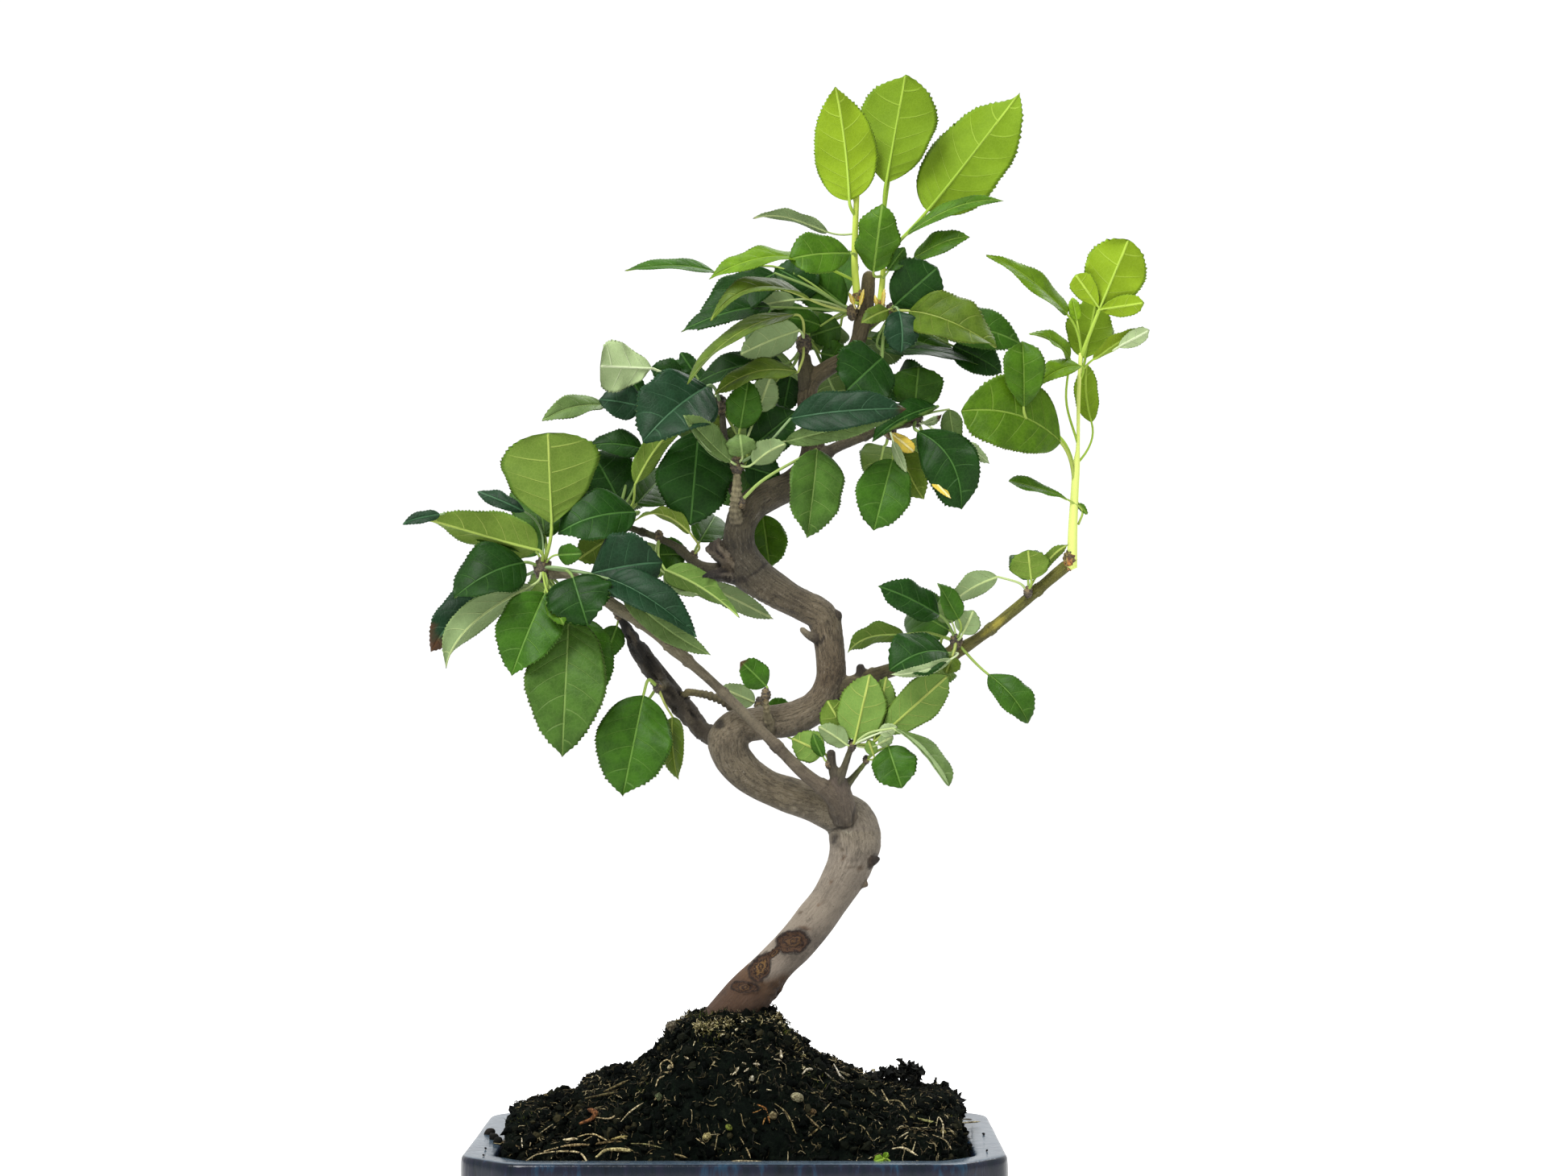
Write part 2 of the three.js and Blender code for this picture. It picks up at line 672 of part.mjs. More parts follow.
      [46, 424, 2, 40, 446, 22, 16, 0, 0.06, 5, { root: [47, 418, -5] }],
    ],
  },
  crown_shoot_right: {
    hub: [56.5, 387.5, -2.5, 2.2],
    stem: [
      [56.3, 386, -2.5, 1.7],
      [57.6, 398, -3, 1.4],
      [58.2, 412, -3.5, 1.2],
      [58.5, 427, -3.5, 1],
    ],
    leaves: [
      [59, 437, -5, 67, 480.8, -1, 31, 180, 0.02, 8, { root: [58.5, 426, -3.5], broad: 0.6 }],
      [75.5, 426, 1, 112.5, 473.5, 10, 31, 172, 0.05, 8, { root: [58.2, 408, -3] }],
      [56, 402.5, -9, 55.5, 429, -17, 17, 0, 0.16, -22, { root: [57.6, 400, -3], broad: 0.5 }],
      [70, 419, 8, 106, 431, 18, 12, -62, 0.08, 12, { root: [58.1, 407, -3] }],
      [70, 407.5, -3, 93, 417, -8, 11, -50, 0.05, 14, { root: [57.8, 402, -3] }],
      [60, 402, -8, 66.5, 411.5, -10, 8, -20, 0.02, 0, { root: [57.7, 399, -3] }],
      [61, 428, 6, 68, 450, 26, 18, 0, 0.06, 5, { root: [58.4, 422, -3] }],
    ],
  },
  crown_right_spray: {
    hub: [61.2, 384.7, 1, 2.9],
    leaves: [
      [62, 388, -3, 79.5, 403.5, -8, 22, 0, 0.08, 0, { broad: 0.55 }],
      [68, 386, -9, 103, 371, -19, 23, -30, 0.14, 8, { broad: 0.45 }],
      [73, 381, 5, 114, 374, 6, 20, -45, 0.08, 4],
      [62.5, 384, -10, 65, 369, -15, 11.5, 0, 0.1, 10, { sweep: -0.05 }],
      [60, 386.5, -9, 49, 381, -14, 7.5, 20, 0.1, 0],
      [58, 370.5, 5, 97, 363.5, 8, 13, -68, 0.05, 4],
      [85.5, 372, 10, 105, 361, 12, 15, -20, 0.08, 0],
      [53, 375, 10, 88, 368, 14, 13, -40, 0.1, 5],
      [56, 366.5, -7, 46.5, 351.5, -14, 31, 0, 0.08, 4, { broad: 0.45, by: [[58, 376, -7]] }],
      [64, 390, 12, 74, 399, 46, 22, 0, 0.08, 5],
      [68, 381, 18, 84, 372, 46, 22, 180, 0.1, 5],
      [58, 377, 18, 56, 362, 50, 22, 180, 0.1, 5],
    ],
  },
  middle_spray: {
    hub: [71, 342.3, -3, 2.9],
    leaves: [
      [70, 348, 2, 71, 364, 4, 21, 0, 0.05, 0, { broad: 0.5 }],
      [79, 348, -1, 53.5, 333.8, -9, 13, 35, 0.1, 10],
      [72, 338, -9, 89, 308, -15, 30, 0, 0.06, 5, { broad: 0.5 }],
      [79, 338.5, -7, 99.5, 325.5, -13, 10, -68, 0.1, 12],
      [82.5, 347, 3, 85, 332.5, 3, 10, 0, 0.03, 0, { by: [[77, 345.5, 1]] }],
      [70, 347, 10, 64, 361, 44, 22, 0, 0.08, 5],
      [74, 336, 8, 82, 318, 40, 22, 180, 0.1, 5],
    ],
  },
  hanging_pair: {
    hub: [60.3, 338.6, -1.5, 3.6],
    leaves: [
      [61.5, 327, -11, 54, 298.5, -17, 21.5, 0, 0.06, 6, { broad: 0.48 }],
      [64, 331, -3, 74, 311, -5, 15, 20, 0.05, 5, { root: [60.5, 336.9, -1.5] }],
      [69, 323.5, -20, 84, 311.5, -24, 7, -130, 0.2, 5, { by: [[63, 333, -9]] }],
      [58, 332, 10, 54, 314, 42, 18, 180, 0.1, 5, { root: [60, 336.9, -1], by: [[59, 333, 4]] }],
    ],
  },
  right_shoot: {
    hub: [131.5, 286, -13.5, 3],
    stem: [
      [132.3, 284, -14, 2.1],
      [132.8, 300, -13, 1.8],
      [133.6, 316, -12, 1.7],
      [134.8, 334, -11, 1.3],
      [135.8, 351, -10, 1.1],
      [136.5, 369, -9, 1],
    ],
    leaves: [
      [144, 385, -13, 155.5, 414.5, -14, 28, 180, 0.03, 8, { root: [136.5, 368, -9], broad: 0.58 }],
      [131, 384.5, -9, 98.8, 408.5, -13, 14, 38, 0.06, 12, { root: [136.5, 368, -9], broad: 0.36 }],
      [134.8, 382, -7, 133, 391.5, -6, 5, 0, 0.05, 15, { root: [136.5, 368, -9] }],
      [138, 367, -2, 142.5, 391, 3, 19, 180, 0.03, 5, { root: [136.4, 362, -9], broad: 0.5 }],
      [141, 366.5, -5, 163.7, 378.3, -7, 8.5, -130, 0.05, 10, { root: [136.3, 361, -9] }],
      [132, 367, -13, 115.5, 377, -19, 10, 58, 0.14, 18, { root: [136.3, 362, -9] }],
      [135, 363.5, -15, 118, 357, -21, 9, 60, 0.1, 8, { root: [136.2, 359, -9] }],
      [141, 343, -6, 140, 363.5, -4, 13, 180, 0.04, 8, { root: [134.6, 327, -11] }],
      [128, 334.5, -17, 88.5, 348, -29, 29, 30, 0.12, 6, { root: [133.3, 314, -12], broad: 0.55 }],
      [115.5, 351, -18, 109.5, 373.5, -22, 17, 10, 0.05, 15, { root: [134.5, 334, -11], broad: 0.6 }],
      [124.5, 314.5, -14, 107.5, 317.5, -18, 7, 60, 0.05, 8, { root: [133.2, 311, -12] }],
      [135.8, 307.5, -13, 139, 305, -14, 3, 0, 0, 0, { root: [133.2, 310, -12] }],
      [125, 338, 2, 106, 350, 30, 20, 0, 0.08, 5, { root: [133.4, 318, -11] }],
      [138, 371, 6, 143, 384, 32, 15, 0, 0.08, 5, { root: [136.4, 364, -8] }],
    ],
  },
  right_spur_spray: {
    hub: [86.5, 253.5, -8, 3.6],
    leaves: [
      [80, 265, -12, 55.5, 276.5, -19, 15, 30, 0.05, 6],
      [87.5, 263.5, -16, 79, 277.8, -21, 10, 25, 0, 18],
      [85, 262, -3, 80.5, 272, -1, 10, 0, 0.02, 0],
      [89, 257.5, -13, 93.5, 267, -15, 10, 180, 0.03, 5],
      [66, 257.5, -10, 43.5, 250, -16, 13, 128, 0.13, 10, { by: [[76, 258, -8]] }],
      [83.5, 250, -17, 60, 243, -26, 22, 38, 0.2, 4, { broad: 0.55 }],
      [85, 249, -18, 82.5, 242, -21, 9, 0, 0.03, 0],
      [99, 241.8, -14, 114.8, 222.3, -21, 15, -25, 0.12, 6, { broad: 0.6 }],
      [84, 259, 4, 70, 267, 38, 20, 0, 0.08, 5],
      [80, 247, 2, 71, 238, 36, 18, 180, 0.1, 5, { by: [[81, 256, 0]] }],
    ],
  },
  branch_spray: {
    hub: [114.8, 272.3, -13.2, 2.9],
    leaves: [
      [116.3, 279, -16, 115, 291, -17, 15.5, 180, 0.04, 0, { broad: 0.5 }],
      [103, 280.3, -13, 82.5, 267.5, -17, 12, 140, 0.1, 14, { by: [[112, 277.5, -14]] }],
      [119, 281.5, -14, 131, 293, -17, 6, -140, 0.08, 5],
      [115, 279, -4, 114, 289, 24, 14, 0, 0.08, 5],
    ],
  },
  fork_spray: {
    hub: [45.2, 213.7, -15, 2.8],
    leaves: [
      [46.5, 217, -17, 49.5, 239, -19, 14, 180, 0.04, 10],
      [45, 216.5, -14, 37.5, 229.5, -13, 13, 180, 0.03, 0],
      [42.5, 213.5, -16, 32.5, 221.3, -17, 7.5, 145, 0.04, 8],
      [51, 218, -14, 57.5, 240, -16, 14, 180, 0.03, 8],
      [59.5, 224, -15, 83, 240.8, -23, 17, -30, 0.04, 10, { broad: 0.5, by: [[53, 215, -15]] }],
      [61, 220.5, -22, 83.5, 198, -30, 11, -62, 0.12, 22, { broad: 0.6, by: [[52, 218.5, -20]] }],
    ],
  },
  fork_leaf: {
    hub: [36, 205.5, -12, 2.6],
    leaves: [[34, 210.8, -9, 21.5, 216.5, -8.5, 13, 180, 0.03, 0]],
  },
  round_leaf: {
    hub: [51.4, 208.2, -11.2, 2.4],
    leaves: [
      [56.5, 211.5, -17, 62, 197, -23, 18.5, 0, 0.08, 0, { broad: 0.5 }],
      [53.6, 211.5, -17, 51.6, 216.5, -18, 5, 180, 0.05, 0],
    ],
  },
  small_leaf: {
    hub: [11.3, 233.2, -11.2, 2.6],
    leaves: [[11.6, 237, -12, 1.2, 246.6, -15, 12, 15, 0.03, 5, { broad: 0.5 }]],
  },
  loop_leaf: {
    hub: [8.5, 306.7, 12.2, 2.4],
    leaves: [
      [10, 305, 16, 13, 284, 18, 17, 0, 0.05, 0, { broad: 0.5 }],
      [4, 309, 18, -4, 318, 42, 16, 0, 0.08, 5],
    ],
  },
  trunk_back_leaves: {
    hub: [9, 229.2, 14.8, 2.4],
    leaves: [
      [7, 230.5, 17, -7, 236.8, 19, 9, 180, 0.04, 5],
      [12, 228.5, 18, 21, 229.8, 20, 7, 0, 0.03, 0],
      [22, 216, 17, 33.5, 211, 19, 9, 0, 0.05, 0],
    ],
  },
};

// Wood with its roots, and the same swollen by the gap, which is cut from what sits against it.
function wood(grow) {
  const parts = [tube(TRUNK, 8, grow)];
  for (const places of Object.values(BRANCHES)) parts.push(tube(places, places[0][3] > 4 ? 6 : 5, grow));
  return joined(parts).simplify(EVEN);
}

function spray({ hub, stem, leaves }, clear) {
  const [u, v, d, size] = hub;
  const cap = new THREE.IcosahedronGeometry(1.05 * size);
  cap.scale(1, 1, 1.3);
  const parts = [placed(cap, ...seen([u, v + 0.3 * size, d]))];
  if (stem) parts.push(tube(stem, 5));
  const heart = seen([u, v + 0.4 * size, d - 0.1 * size]);
  for (const row of leaves) {
    const { root, by = [row] } = row[10] ?? {};
    const towards = seen(by[0]).sub(heart).normalize();
    parts.push(leafSolid(row, root ? seen(root) : heart.clone().addScaledVector(towards, 0.4 * size)));
  }
  return mainBody(joined(parts).subtract(clear).simplify(EVEN));
}

// Outline of the pot at a height: a rectangle with cut corners, pushed in from the rim by inset.
function potRing(inset, z, cut = CUT_CORNER) {
  const a = 0.5 * POT_LENGTH - inset;
  const b = 0.5 * POT_DEPTH - inset;
  const c = cut - 0.59 * inset;
  const soft = 0.22 * c;
  const quarter = [
    [a, b - c - soft],
    [a - 0.35 * soft, b - c + 0.75 * soft],
    [a - c + 0.75 * soft, b - 0.35 * soft],
    [a - c - soft, b],
  ];
  const turned = quarter.map(([x, y]) => [-x, y]).reverse();
  const front = [...quarter, ...turned].map(([x, y]) => [-x, -y]);
  return [...quarter, ...turned, ...front].map(([x, y]) => new THREE.Vector3(x, y, z));
}

function placed(geometry, x, y, z) {
  geometry.translate(x, y, z);
  return solidOf(geometry);
}

function pot() {
  const outside = [
    [17, FOOT_HEIGHT - 1],
    [15, FOOT_HEIGHT],
    [10, 24],
    [6, 44],
    [6, 47.5],
    [1.2, 49],
    [0, 51.5],
    [0, POT_HEIGHT - 3],
    [2.5, POT_HEIGHT],
    [RIM_WIDTH - 2.5, POT_HEIGHT],
    [RIM_WIDTH, POT_HEIGHT - 2.5],
  ];
  const body = loft(outside.map(([inset, z]) => potRing(inset, z)));
  const inside = loft([
    potRing(RIM_WIDTH, POT_HEIGHT + 4),
    potRing(RIM_WIDTH, POT_HEIGHT - 2.5),
    potRing(14, 47),
    potRing(21, FLOOR_TOP + 2),
    potRing(24, FLOOR_TOP),
  ].reverse());
  const holes = DRAIN_PLACES.map((x) => {
    const hole = new THREE.CylinderGeometry(DRAIN_HOLE / 2, DRAIN_HOLE / 2, 30, 14);
    hole.rotateX(Math.PI / 2);
    return placed(hole, x, 0, FLOOR_TOP - 8);
  });
  const feet = [];
  for (const x of [-1, 1])
    for (const y of [-1, 1]) {
      const foot = new THREE.BoxGeometry(FOOT_LENGTH, FOOT_DEPTH, FOOT_HEIGHT + 2);
      const cut = new THREE.BoxGeometry(60, 60, 20);
      cut.rotateZ((x * y * Math.PI) / 4);
      feet.push(
        placed(foot, x * 62, y * 44, 0.5 * (FOOT_HEIGHT + 2)).subtract(
          placed(cut, x * (62 + 46), y * (44 + 40), 4),
        ),
      );
    }
  return joined([body, ...feet]).subtract(joined([inside, ...holes]));
}

// Square plastic screen over a drain hole, under the soil.
function drainScreen(x) {
  const plate = new THREE.BoxGeometry(SCREEN_SIDE, SCREEN_SIDE, SCREEN_THICK);
  const slots = [];
  for (const i of [-1, 1])
    for (const j of [-1, 1]) {
      const slot = new THREE.BoxGeometry(SCREEN_SLOT, SCREEN_SLOT, 6);
      slots.push(placed(slot, x + 5 * i, 5 * j, FLOOR_TOP));
    }
  const z = FLOOR_TOP + GAP + 0.5 * SCREEN_THICK;
  return placed(plate, x, 0, z).subtract(joined(slots));
}

// Height of the soil mound over the length of the pot, along its ridge.
const RIDGE = [
  [-90, 57],
  [-86, 71],
  [-70, 76],
  [-62, 77],
  [-58, 83],
  [-46, 86],
  [-38, 88],
  [-32, 93],
  [-26, 101],
  [-18, 108],
  [-6, 111],
  [14, 110],
  [20, 101],
  [28, 93],
  [40, 88],
  [52, 82],
  [66, 79],
  [80, 78],
  [86, 73],
  [90, 57],
];
const SOIL_EDGE = 51;

function soilTop(x, y) {
  let k = 0;
  while (k < RIDGE.length - 2 && x > RIDGE[k + 1][0]) k++;
  const [x0, z0] = RIDGE[k];
  const [x1, z1] = RIDGE[k + 1];
  const ridge = THREE.MathUtils.lerp(z0, z1, THREE.MathUtils.clamp((x - x0) / (x1 - x0), 0, 1));
  const half = 0.5 * POT_DEPTH - RIM_WIDTH;
  const across = Math.min(Math.abs(y / half), 1);
  const lumps = Math.sin(0.31 * x + 1.7) * Math.cos(0.37 * y) + 0.7 * Math.sin(0.83 * x - 0.61 * y);
  const fall = 1 - across ** 2.6;
  return SOIL_EDGE + fall * (ridge - SOIL_EDGE + 0.9 * lumps);
}

function soil(roots) {
  const edge = potRing(RIM_WIDTH + GAP + 0.2, 0);
  const rings = [
    potRing(24 + GAP, FLOOR_TOP + 2 * GAP + SCREEN_THICK),
    potRing(21 + GAP, FLOOR_TOP + 2.6 + GAP),
    potRing(14 + GAP + 0.1, 47),
    potRing(RIM_WIDTH + GAP + 0.2, SOIL_EDGE - 1),
  ];
  // More points round the top than the pot's outline has, so that the mound is even.
  const after = (ring, k) => ring[(k + 1) % ring.length];
  const parts = edge.map((p, k) => Math.max(1, Math.round(p.distanceTo(after(edge, k)) / 48)));
  const dense = (ring) =>
    ring.flatMap((p, k) =>
      Array.from({ length: parts[k] }, (_, i) => p.clone().lerp(after(ring, k), i / parts[k])),
    );
  const walls = rings.map(dense);
  const mound = [0.98, 0.9, 0.74, 0.52, 0.26].map((share) =>
    dense(edge).map((p) => {
      const q = p.clone().multiplyScalar(share);
      return new THREE.Vector3(q.x, q.y, soilTop(q.x, q.y));
    }),
  );
  return mainBody(loft([...walls, ...mound]).subtract(roots).simplify(EVEN));
}

const GLAZE = new THREE.MeshStandardMaterial({ color: 0x53647f, roughness: 0.2, metalness: 0 });
const BARK = new THREE.MeshStandardMaterial({ color: 0x7d6c59, roughness: 0.85, metalness: 0 });
const EARTH = new THREE.MeshStandardMaterial({ color: 0x1f1a14, roughness: 0.95, metalness: 0 });
const SCREEN = new THREE.MeshStandardMaterial({ color: 0x1d1f20, roughness: 0.6, metalness: 0 });
const OLD_LEAF = new THREE.MeshStandardMaterial({ color: 0x2f5a26, roughness: 0.5, metalness: 0 });
const YOUNG_LEAF = new THREE.MeshStandardMaterial({ color: 0x86a93c, roughness: 0.5, metalness: 0 });
const YOUNG = ["crown_shoot_left", "crown_shoot_right", "right_shoot", "fork_spray"];

const bonsai = new THREE.Group();
bonsai.position.set(-MIDDLE_X, -MIDDLE_Y, 0);
bonsai.add(meshOf("pot", pot(), GLAZE));
bonsai.add(meshOf("drain_screen_left", drainScreen(DRAIN_PLACES[0]), SCREEN));
bonsai.add(meshOf("drain_screen_right", drainScreen(DRAIN_PLACES[1]), SCREEN));
const swollen = wood(GAP + 0.05);
bonsai.add(meshOf("soil", soil(swollen), EARTH));
bonsai.add(meshOf("trunk", wood(0), BARK));
for (const [name, made] of Object.entries(SPRAYS))
  bonsai.add(meshOf(name, spray(made, swollen), YOUNG.includes(name) ? YOUNG_LEAF : OLD_LEAF));

export default bonsai;
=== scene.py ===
"""An apple bonsai in its glazed pot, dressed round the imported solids.

Metres, +Z up, the front towards -Y. Sizes are written in millimetres and places on the tree as
[u, v, d]: u to the right of the pot's middle and v above its feet, as both are seen on the upright
plane through the pot's middle, and d behind that plane.
"""

import math

import bpy
import numpy as np
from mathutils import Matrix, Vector


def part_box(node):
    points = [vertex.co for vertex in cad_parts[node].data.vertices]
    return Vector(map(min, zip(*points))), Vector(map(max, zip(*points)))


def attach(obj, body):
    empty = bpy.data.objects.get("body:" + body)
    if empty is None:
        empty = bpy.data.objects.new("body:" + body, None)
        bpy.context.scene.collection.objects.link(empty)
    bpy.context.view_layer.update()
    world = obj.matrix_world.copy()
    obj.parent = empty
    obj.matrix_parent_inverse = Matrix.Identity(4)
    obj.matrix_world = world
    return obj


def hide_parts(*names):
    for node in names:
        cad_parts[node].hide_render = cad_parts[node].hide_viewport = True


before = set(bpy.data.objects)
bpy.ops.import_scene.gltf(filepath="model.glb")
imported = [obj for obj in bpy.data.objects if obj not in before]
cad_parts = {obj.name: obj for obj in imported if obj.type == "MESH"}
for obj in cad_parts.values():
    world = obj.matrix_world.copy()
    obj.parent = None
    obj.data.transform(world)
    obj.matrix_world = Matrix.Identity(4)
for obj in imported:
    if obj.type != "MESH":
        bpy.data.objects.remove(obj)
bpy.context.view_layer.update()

# The studio. A plain white floor and room, with a soft lamp above the left shoulder and a weaker one
# behind on the right. The camera stands level with the middle of the tree and looks up a little.
MM = 0.001
EYE_X = 18.5
EYE_AWAY = 1142
EYE_HEIGHT = 223
LENS = 66.4
SENSOR = 36
FOCAL_PIXELS = 3588
PIXELS_ABOVE_LEVEL = 166
TILT_UP = math.atan(PIXELS_ABOVE_LEVEL / FOCAL_PIXELS)
FLOOR_SIDE = 60000
ROOM_LIGHT = 1.06
LIT = 0.72

pot_low, pot_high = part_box("pot")
POT_MIDDLE = np.array([0.5 * (pot_low.x + pot_high.x) / MM, 0, 0])


def in_frame(points):
    """Millimetres from the pot's middle, as metres in the part's frame."""
    return (np.asarray(points, float) + POT_MIDDLE) * MM


def paint(code, lit=LIT):
    """The linear paint that looks like a colour of six hex digits under the studio's lamps, which
    together throw 1 / lit times the light of a white room."""
    shares = np.array([int(code[i : i + 2], 16) / 255 for i in (0, 2, 4)])
    linear = np.where(shares > 0.04045, ((shares + 0.055) / 1.055) ** 2.4, shares / 12.92)
    return (*(lit * linear), 1.0)


class Value:
    """A value inside a material: one output socket, on which arithmetic adds Math nodes."""

    def __init__(self, finish, socket):
        self.finish = finish
        self.socket = socket

    def math(self, operation, *others):
        return self.finish.node("Math", {"operation": operation}, [self, *others])

    def __add__(self, other):
        return self.math("ADD", other)

    def __sub__(self, other):
        return self.math("SUBTRACT", other)

    def __rsub__(self, other):
        return self.finish.node("Math", {"operation": "SUBTRACT"}, [other, self])

    def __mul__(self, other):
        return self.math("MULTIPLY", other)

    def __abs__(self):
        return self.math("ABSOLUTE")

    __radd__ = __add__
    __rmul__ = __mul__

    def step(self, low, high):
        """0 below low and 1 above high with a smooth rise between, or falling where low is above high."""
        sockets = {0: self, 1: low, 2: high, 3: 0, 4: 1}
        return self.finish.node("MapRange", {"interpolation_type": "SMOOTHSTEP"}, sockets)


class Finish:
    """A material with one Principled shader, whose sockets are set or linked by name."""

    def __init__(self, name, **sockets):
        self.material = bpy.data.materials.new(name)
        self.material.use_nodes = True
        self.tree = self.material.node_tree
        self.tree.nodes.clear()
        self.shader = self.tree.nodes.new("ShaderNodeBsdfPrincipled")
        surface = self.tree.nodes.new("ShaderNodeOutputMaterial")
        self.tree.links.new(self.shader.outputs[0], surface.inputs["Surface"])
        self.set(**sockets)

    def feed(self, socket, value):
        """Links a Value to a socket, or sets the socket to a number or a paint."""
        if isinstance(value, Value):
            self.tree.links.new(value.socket, socket)
        else:
            socket.default_value = value

    def set(self, **sockets):
        for name, value in sockets.items():
            self.feed(self.shader.inputs[name.replace("_", " ")], value)

    def node(self, kind, settings=None, sockets=(), output=0):
        """Adds a node: its type, its settings, the values or links of its sockets, and which output."""
        node = self.tree.nodes.new("ShaderNode" + kind)
        for name, value in (settings or {}).items():
            if name == "stops":
                for k, (place, shade) in enumerate(value):
                    stop = node.color_ramp.elements[k] if k < 2 else node.color_ramp.elements.new(place)
                    stop.position = place
                    stop.color = shade
            else:
                setattr(node, name, value)
        pairs = sockets.items() if isinstance(sockets, dict) else enumerate(sockets)
        for name, value in pairs:
            self.feed(node.inputs[name], value)
        return Value(self, node.outputs[output])

    def place(self):
        """Where a point lies on the object: Object coordinates, in metres."""
        return self.node("TexCoord", output=3)

    def stored(self, name, output=1):
        """What store has kept in the mesh: output 0 is a colour, 1 a vector and 2 a number."""
        return self.node("Attribute", {"attribute_name": name}, output=output)

    def axes(self, vector):
        return [self.node("SeparateXYZ", sockets=[vector], output=k) for k in range(3)]

    def stretched(self, vector, scale):
        return self.node("Mapping", sockets={"Vector": vector, "Scale": scale})

    def noise(self, vector, size, detail=3, rough=0.55, bend=0):
        """Clouds with the given size in the units of the vector, from 0 to 1."""
        sockets = {"Vector": vector, "Scale": 1 / size, "Detail": detail, "Roughness": rough}
        return self.node("TexNoise", sockets={**sockets, "Distortion": bend})

    def cells(self, vector, size, feature="F1"):
        """Distance in a pattern of cells of the given size: to their middles, or to their edges."""
        return self.node("TexVoronoi", {"feature": feature}, {"Vector": vector, "Scale": 1 / size})

    def mix(self, share, first, second, blend="MIX"):
        """A share of the second paint over the first, or multiplied or lit into it."""
        settings = {"data_type": "RGBA", "blend_type": blend}
        return self.node("Mix", settings, {0: share, 6: first, 7: second}, 2)

    def ramp(self, value, *stops):
        return self.node("ValToRGB", {"stops": stops}, [value])

    def relief(self, height, depth, strength=1):
        """Bumps as deep as depth metres where the height is 1."""
        sockets = {"Height": height, "Distance": depth, "Strength": strength}
        self.set(Normal=self.node("Bump", sockets=sockets))


def mesh_of(name, points, faces):
    """A mesh from points in millimetres and a list of face arrays, each with one count of corners."""
    mesh = bpy.data.meshes.new(name)
    corners = np.concatenate([f.ravel() for f in faces]).astype(np.int32)
    sizes = np.concatenate([np.full(len(f), f.shape[1]) for f in faces])
    mesh.vertices.add(len(points))
    mesh.vertices.foreach_set("co", in_frame(points).astype(np.float32).ravel())
    mesh.loops.add(len(corners))
    mesh.loops.foreach_set("vertex_index", corners)
    mesh.polygons.add(len(sizes))
    mesh.polygons.foreach_set("loop_start", (np.cumsum(sizes) - sizes).astype(np.int32))
    mesh.polygons.foreach_set("use_smooth", np.ones(len(sizes), bool))
    mesh.update(calc_edges=True)
    return mesh


def store(mesh, name, values):
    """Keeps a value of each point in the mesh for its material: a number, a vector or a colour."""
    values = np.asarray(values, np.float32)
    kinds = {1: ("FLOAT", "value"), 3: ("FLOAT_VECTOR", "vector"), 4: ("FLOAT_COLOR", "color")}
    kind, field = kinds[values[0].size]
    mesh.attributes.new(name, kind, "POINT").data.foreach_set(field, values.ravel())


def shown(name, mesh, *finishes):
    """A piece of the scene with a mesh and its finishes."""
    piece = bpy.data.objects.new(name, mesh)
    bpy.context.scene.collection.objects.link(piece)
    for finish in finishes:
        mesh.materials.append(finish.material)
    return piece


def fixed(piece, slot, *nodes):
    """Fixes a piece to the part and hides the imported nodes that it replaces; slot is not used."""
    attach(piece, "root")
    if nodes:
        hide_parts(*nodes)


camera = bpy.data.objects.new("camera", bpy.data.cameras.new("camera"))
camera.data.lens = LENS
camera.data.sensor_width = SENSOR
camera.location = in_frame([EYE_X, -EYE_AWAY, EYE_HEIGHT])
camera.rotation_euler = (0.5 * math.pi + TILT_UP, 0, 0)
bpy.context.scene.collection.objects.link(camera)
bpy.context.scene.camera = camera
bpy.context.scene.view_settings.view_transform = "Standard"

paper = Finish("white_paper", Base_Color=paint("fbfbfa", 1), Roughness=0.9)
half = 0.5 * FLOOR_SIDE
square = np.array([[-half, -half, 0], [half, -half, 0], [half, half, 0], [-half, half, 0]])
floor = shown("floor", mesh_of("floor", square, [np.array([[0, 1, 2, 3]])]), paper)

room = bpy.data.worlds.new("room")
room.use_nodes = True
room.node_tree.nodes["Background"].inputs["Color"].default_value = (1, 1, 1, 1)
room.node_tree.nodes["Background"].inputs["Strength"].default_value = ROOM_LIGHT
bpy.context.scene.world = room


def soft_lamp(name, x, y, z, side, watts):
    """A square lamp with its middle at (x, y, z) mm, turned to the middle of the tree."""
    lamp = bpy.data.objects.new(name, bpy.data.lights.new(name, "AREA"))
    lamp.data.size = side * MM
    lamp.data.energy = watts
    lamp.location = in_frame([x, y, z])
    aim = Vector(in_frame([0, 0, EYE_HEIGHT])) - lamp.location
    lamp.rotation_euler = aim.to_track_quat("-Z", "Y").to_euler()
    bpy.context.scene.collection.objects.link(lamp)


soft_lamp("lamp_left", -700, -900, 1600, 800, 46)
soft_lamp("lamp_back", 600, 800, 1500, 900, 20)

# The pot. A slip-cast stoneware tray with cut corners, four feet and two drain holes, dipped in a
# dark blue glaze that runs down the sides; its upward faces carry a painted reflection of the white
# room, a mottled pale grey.
POT_LENGTH, POT_DEPTH, _ = (np.array(pot_high) - np.array(pot_low)) / MM
CUT_CORNER = 20
RIM_WIDTH = 13.5
RIM_TOP = 61.6
FLOOR_TOP = 13
FOOT_HEIGHT = 6
FOOT_LENGTH = 34
FOOT_DEPTH = 22
FOOT_CORNER = 5
FOOT_PLACES = [(x, y) for x in (-62, 62) for y in (-44, 44)]
DRAIN_HOLE = 18
DRAIN_PLACES = (-42, 42)


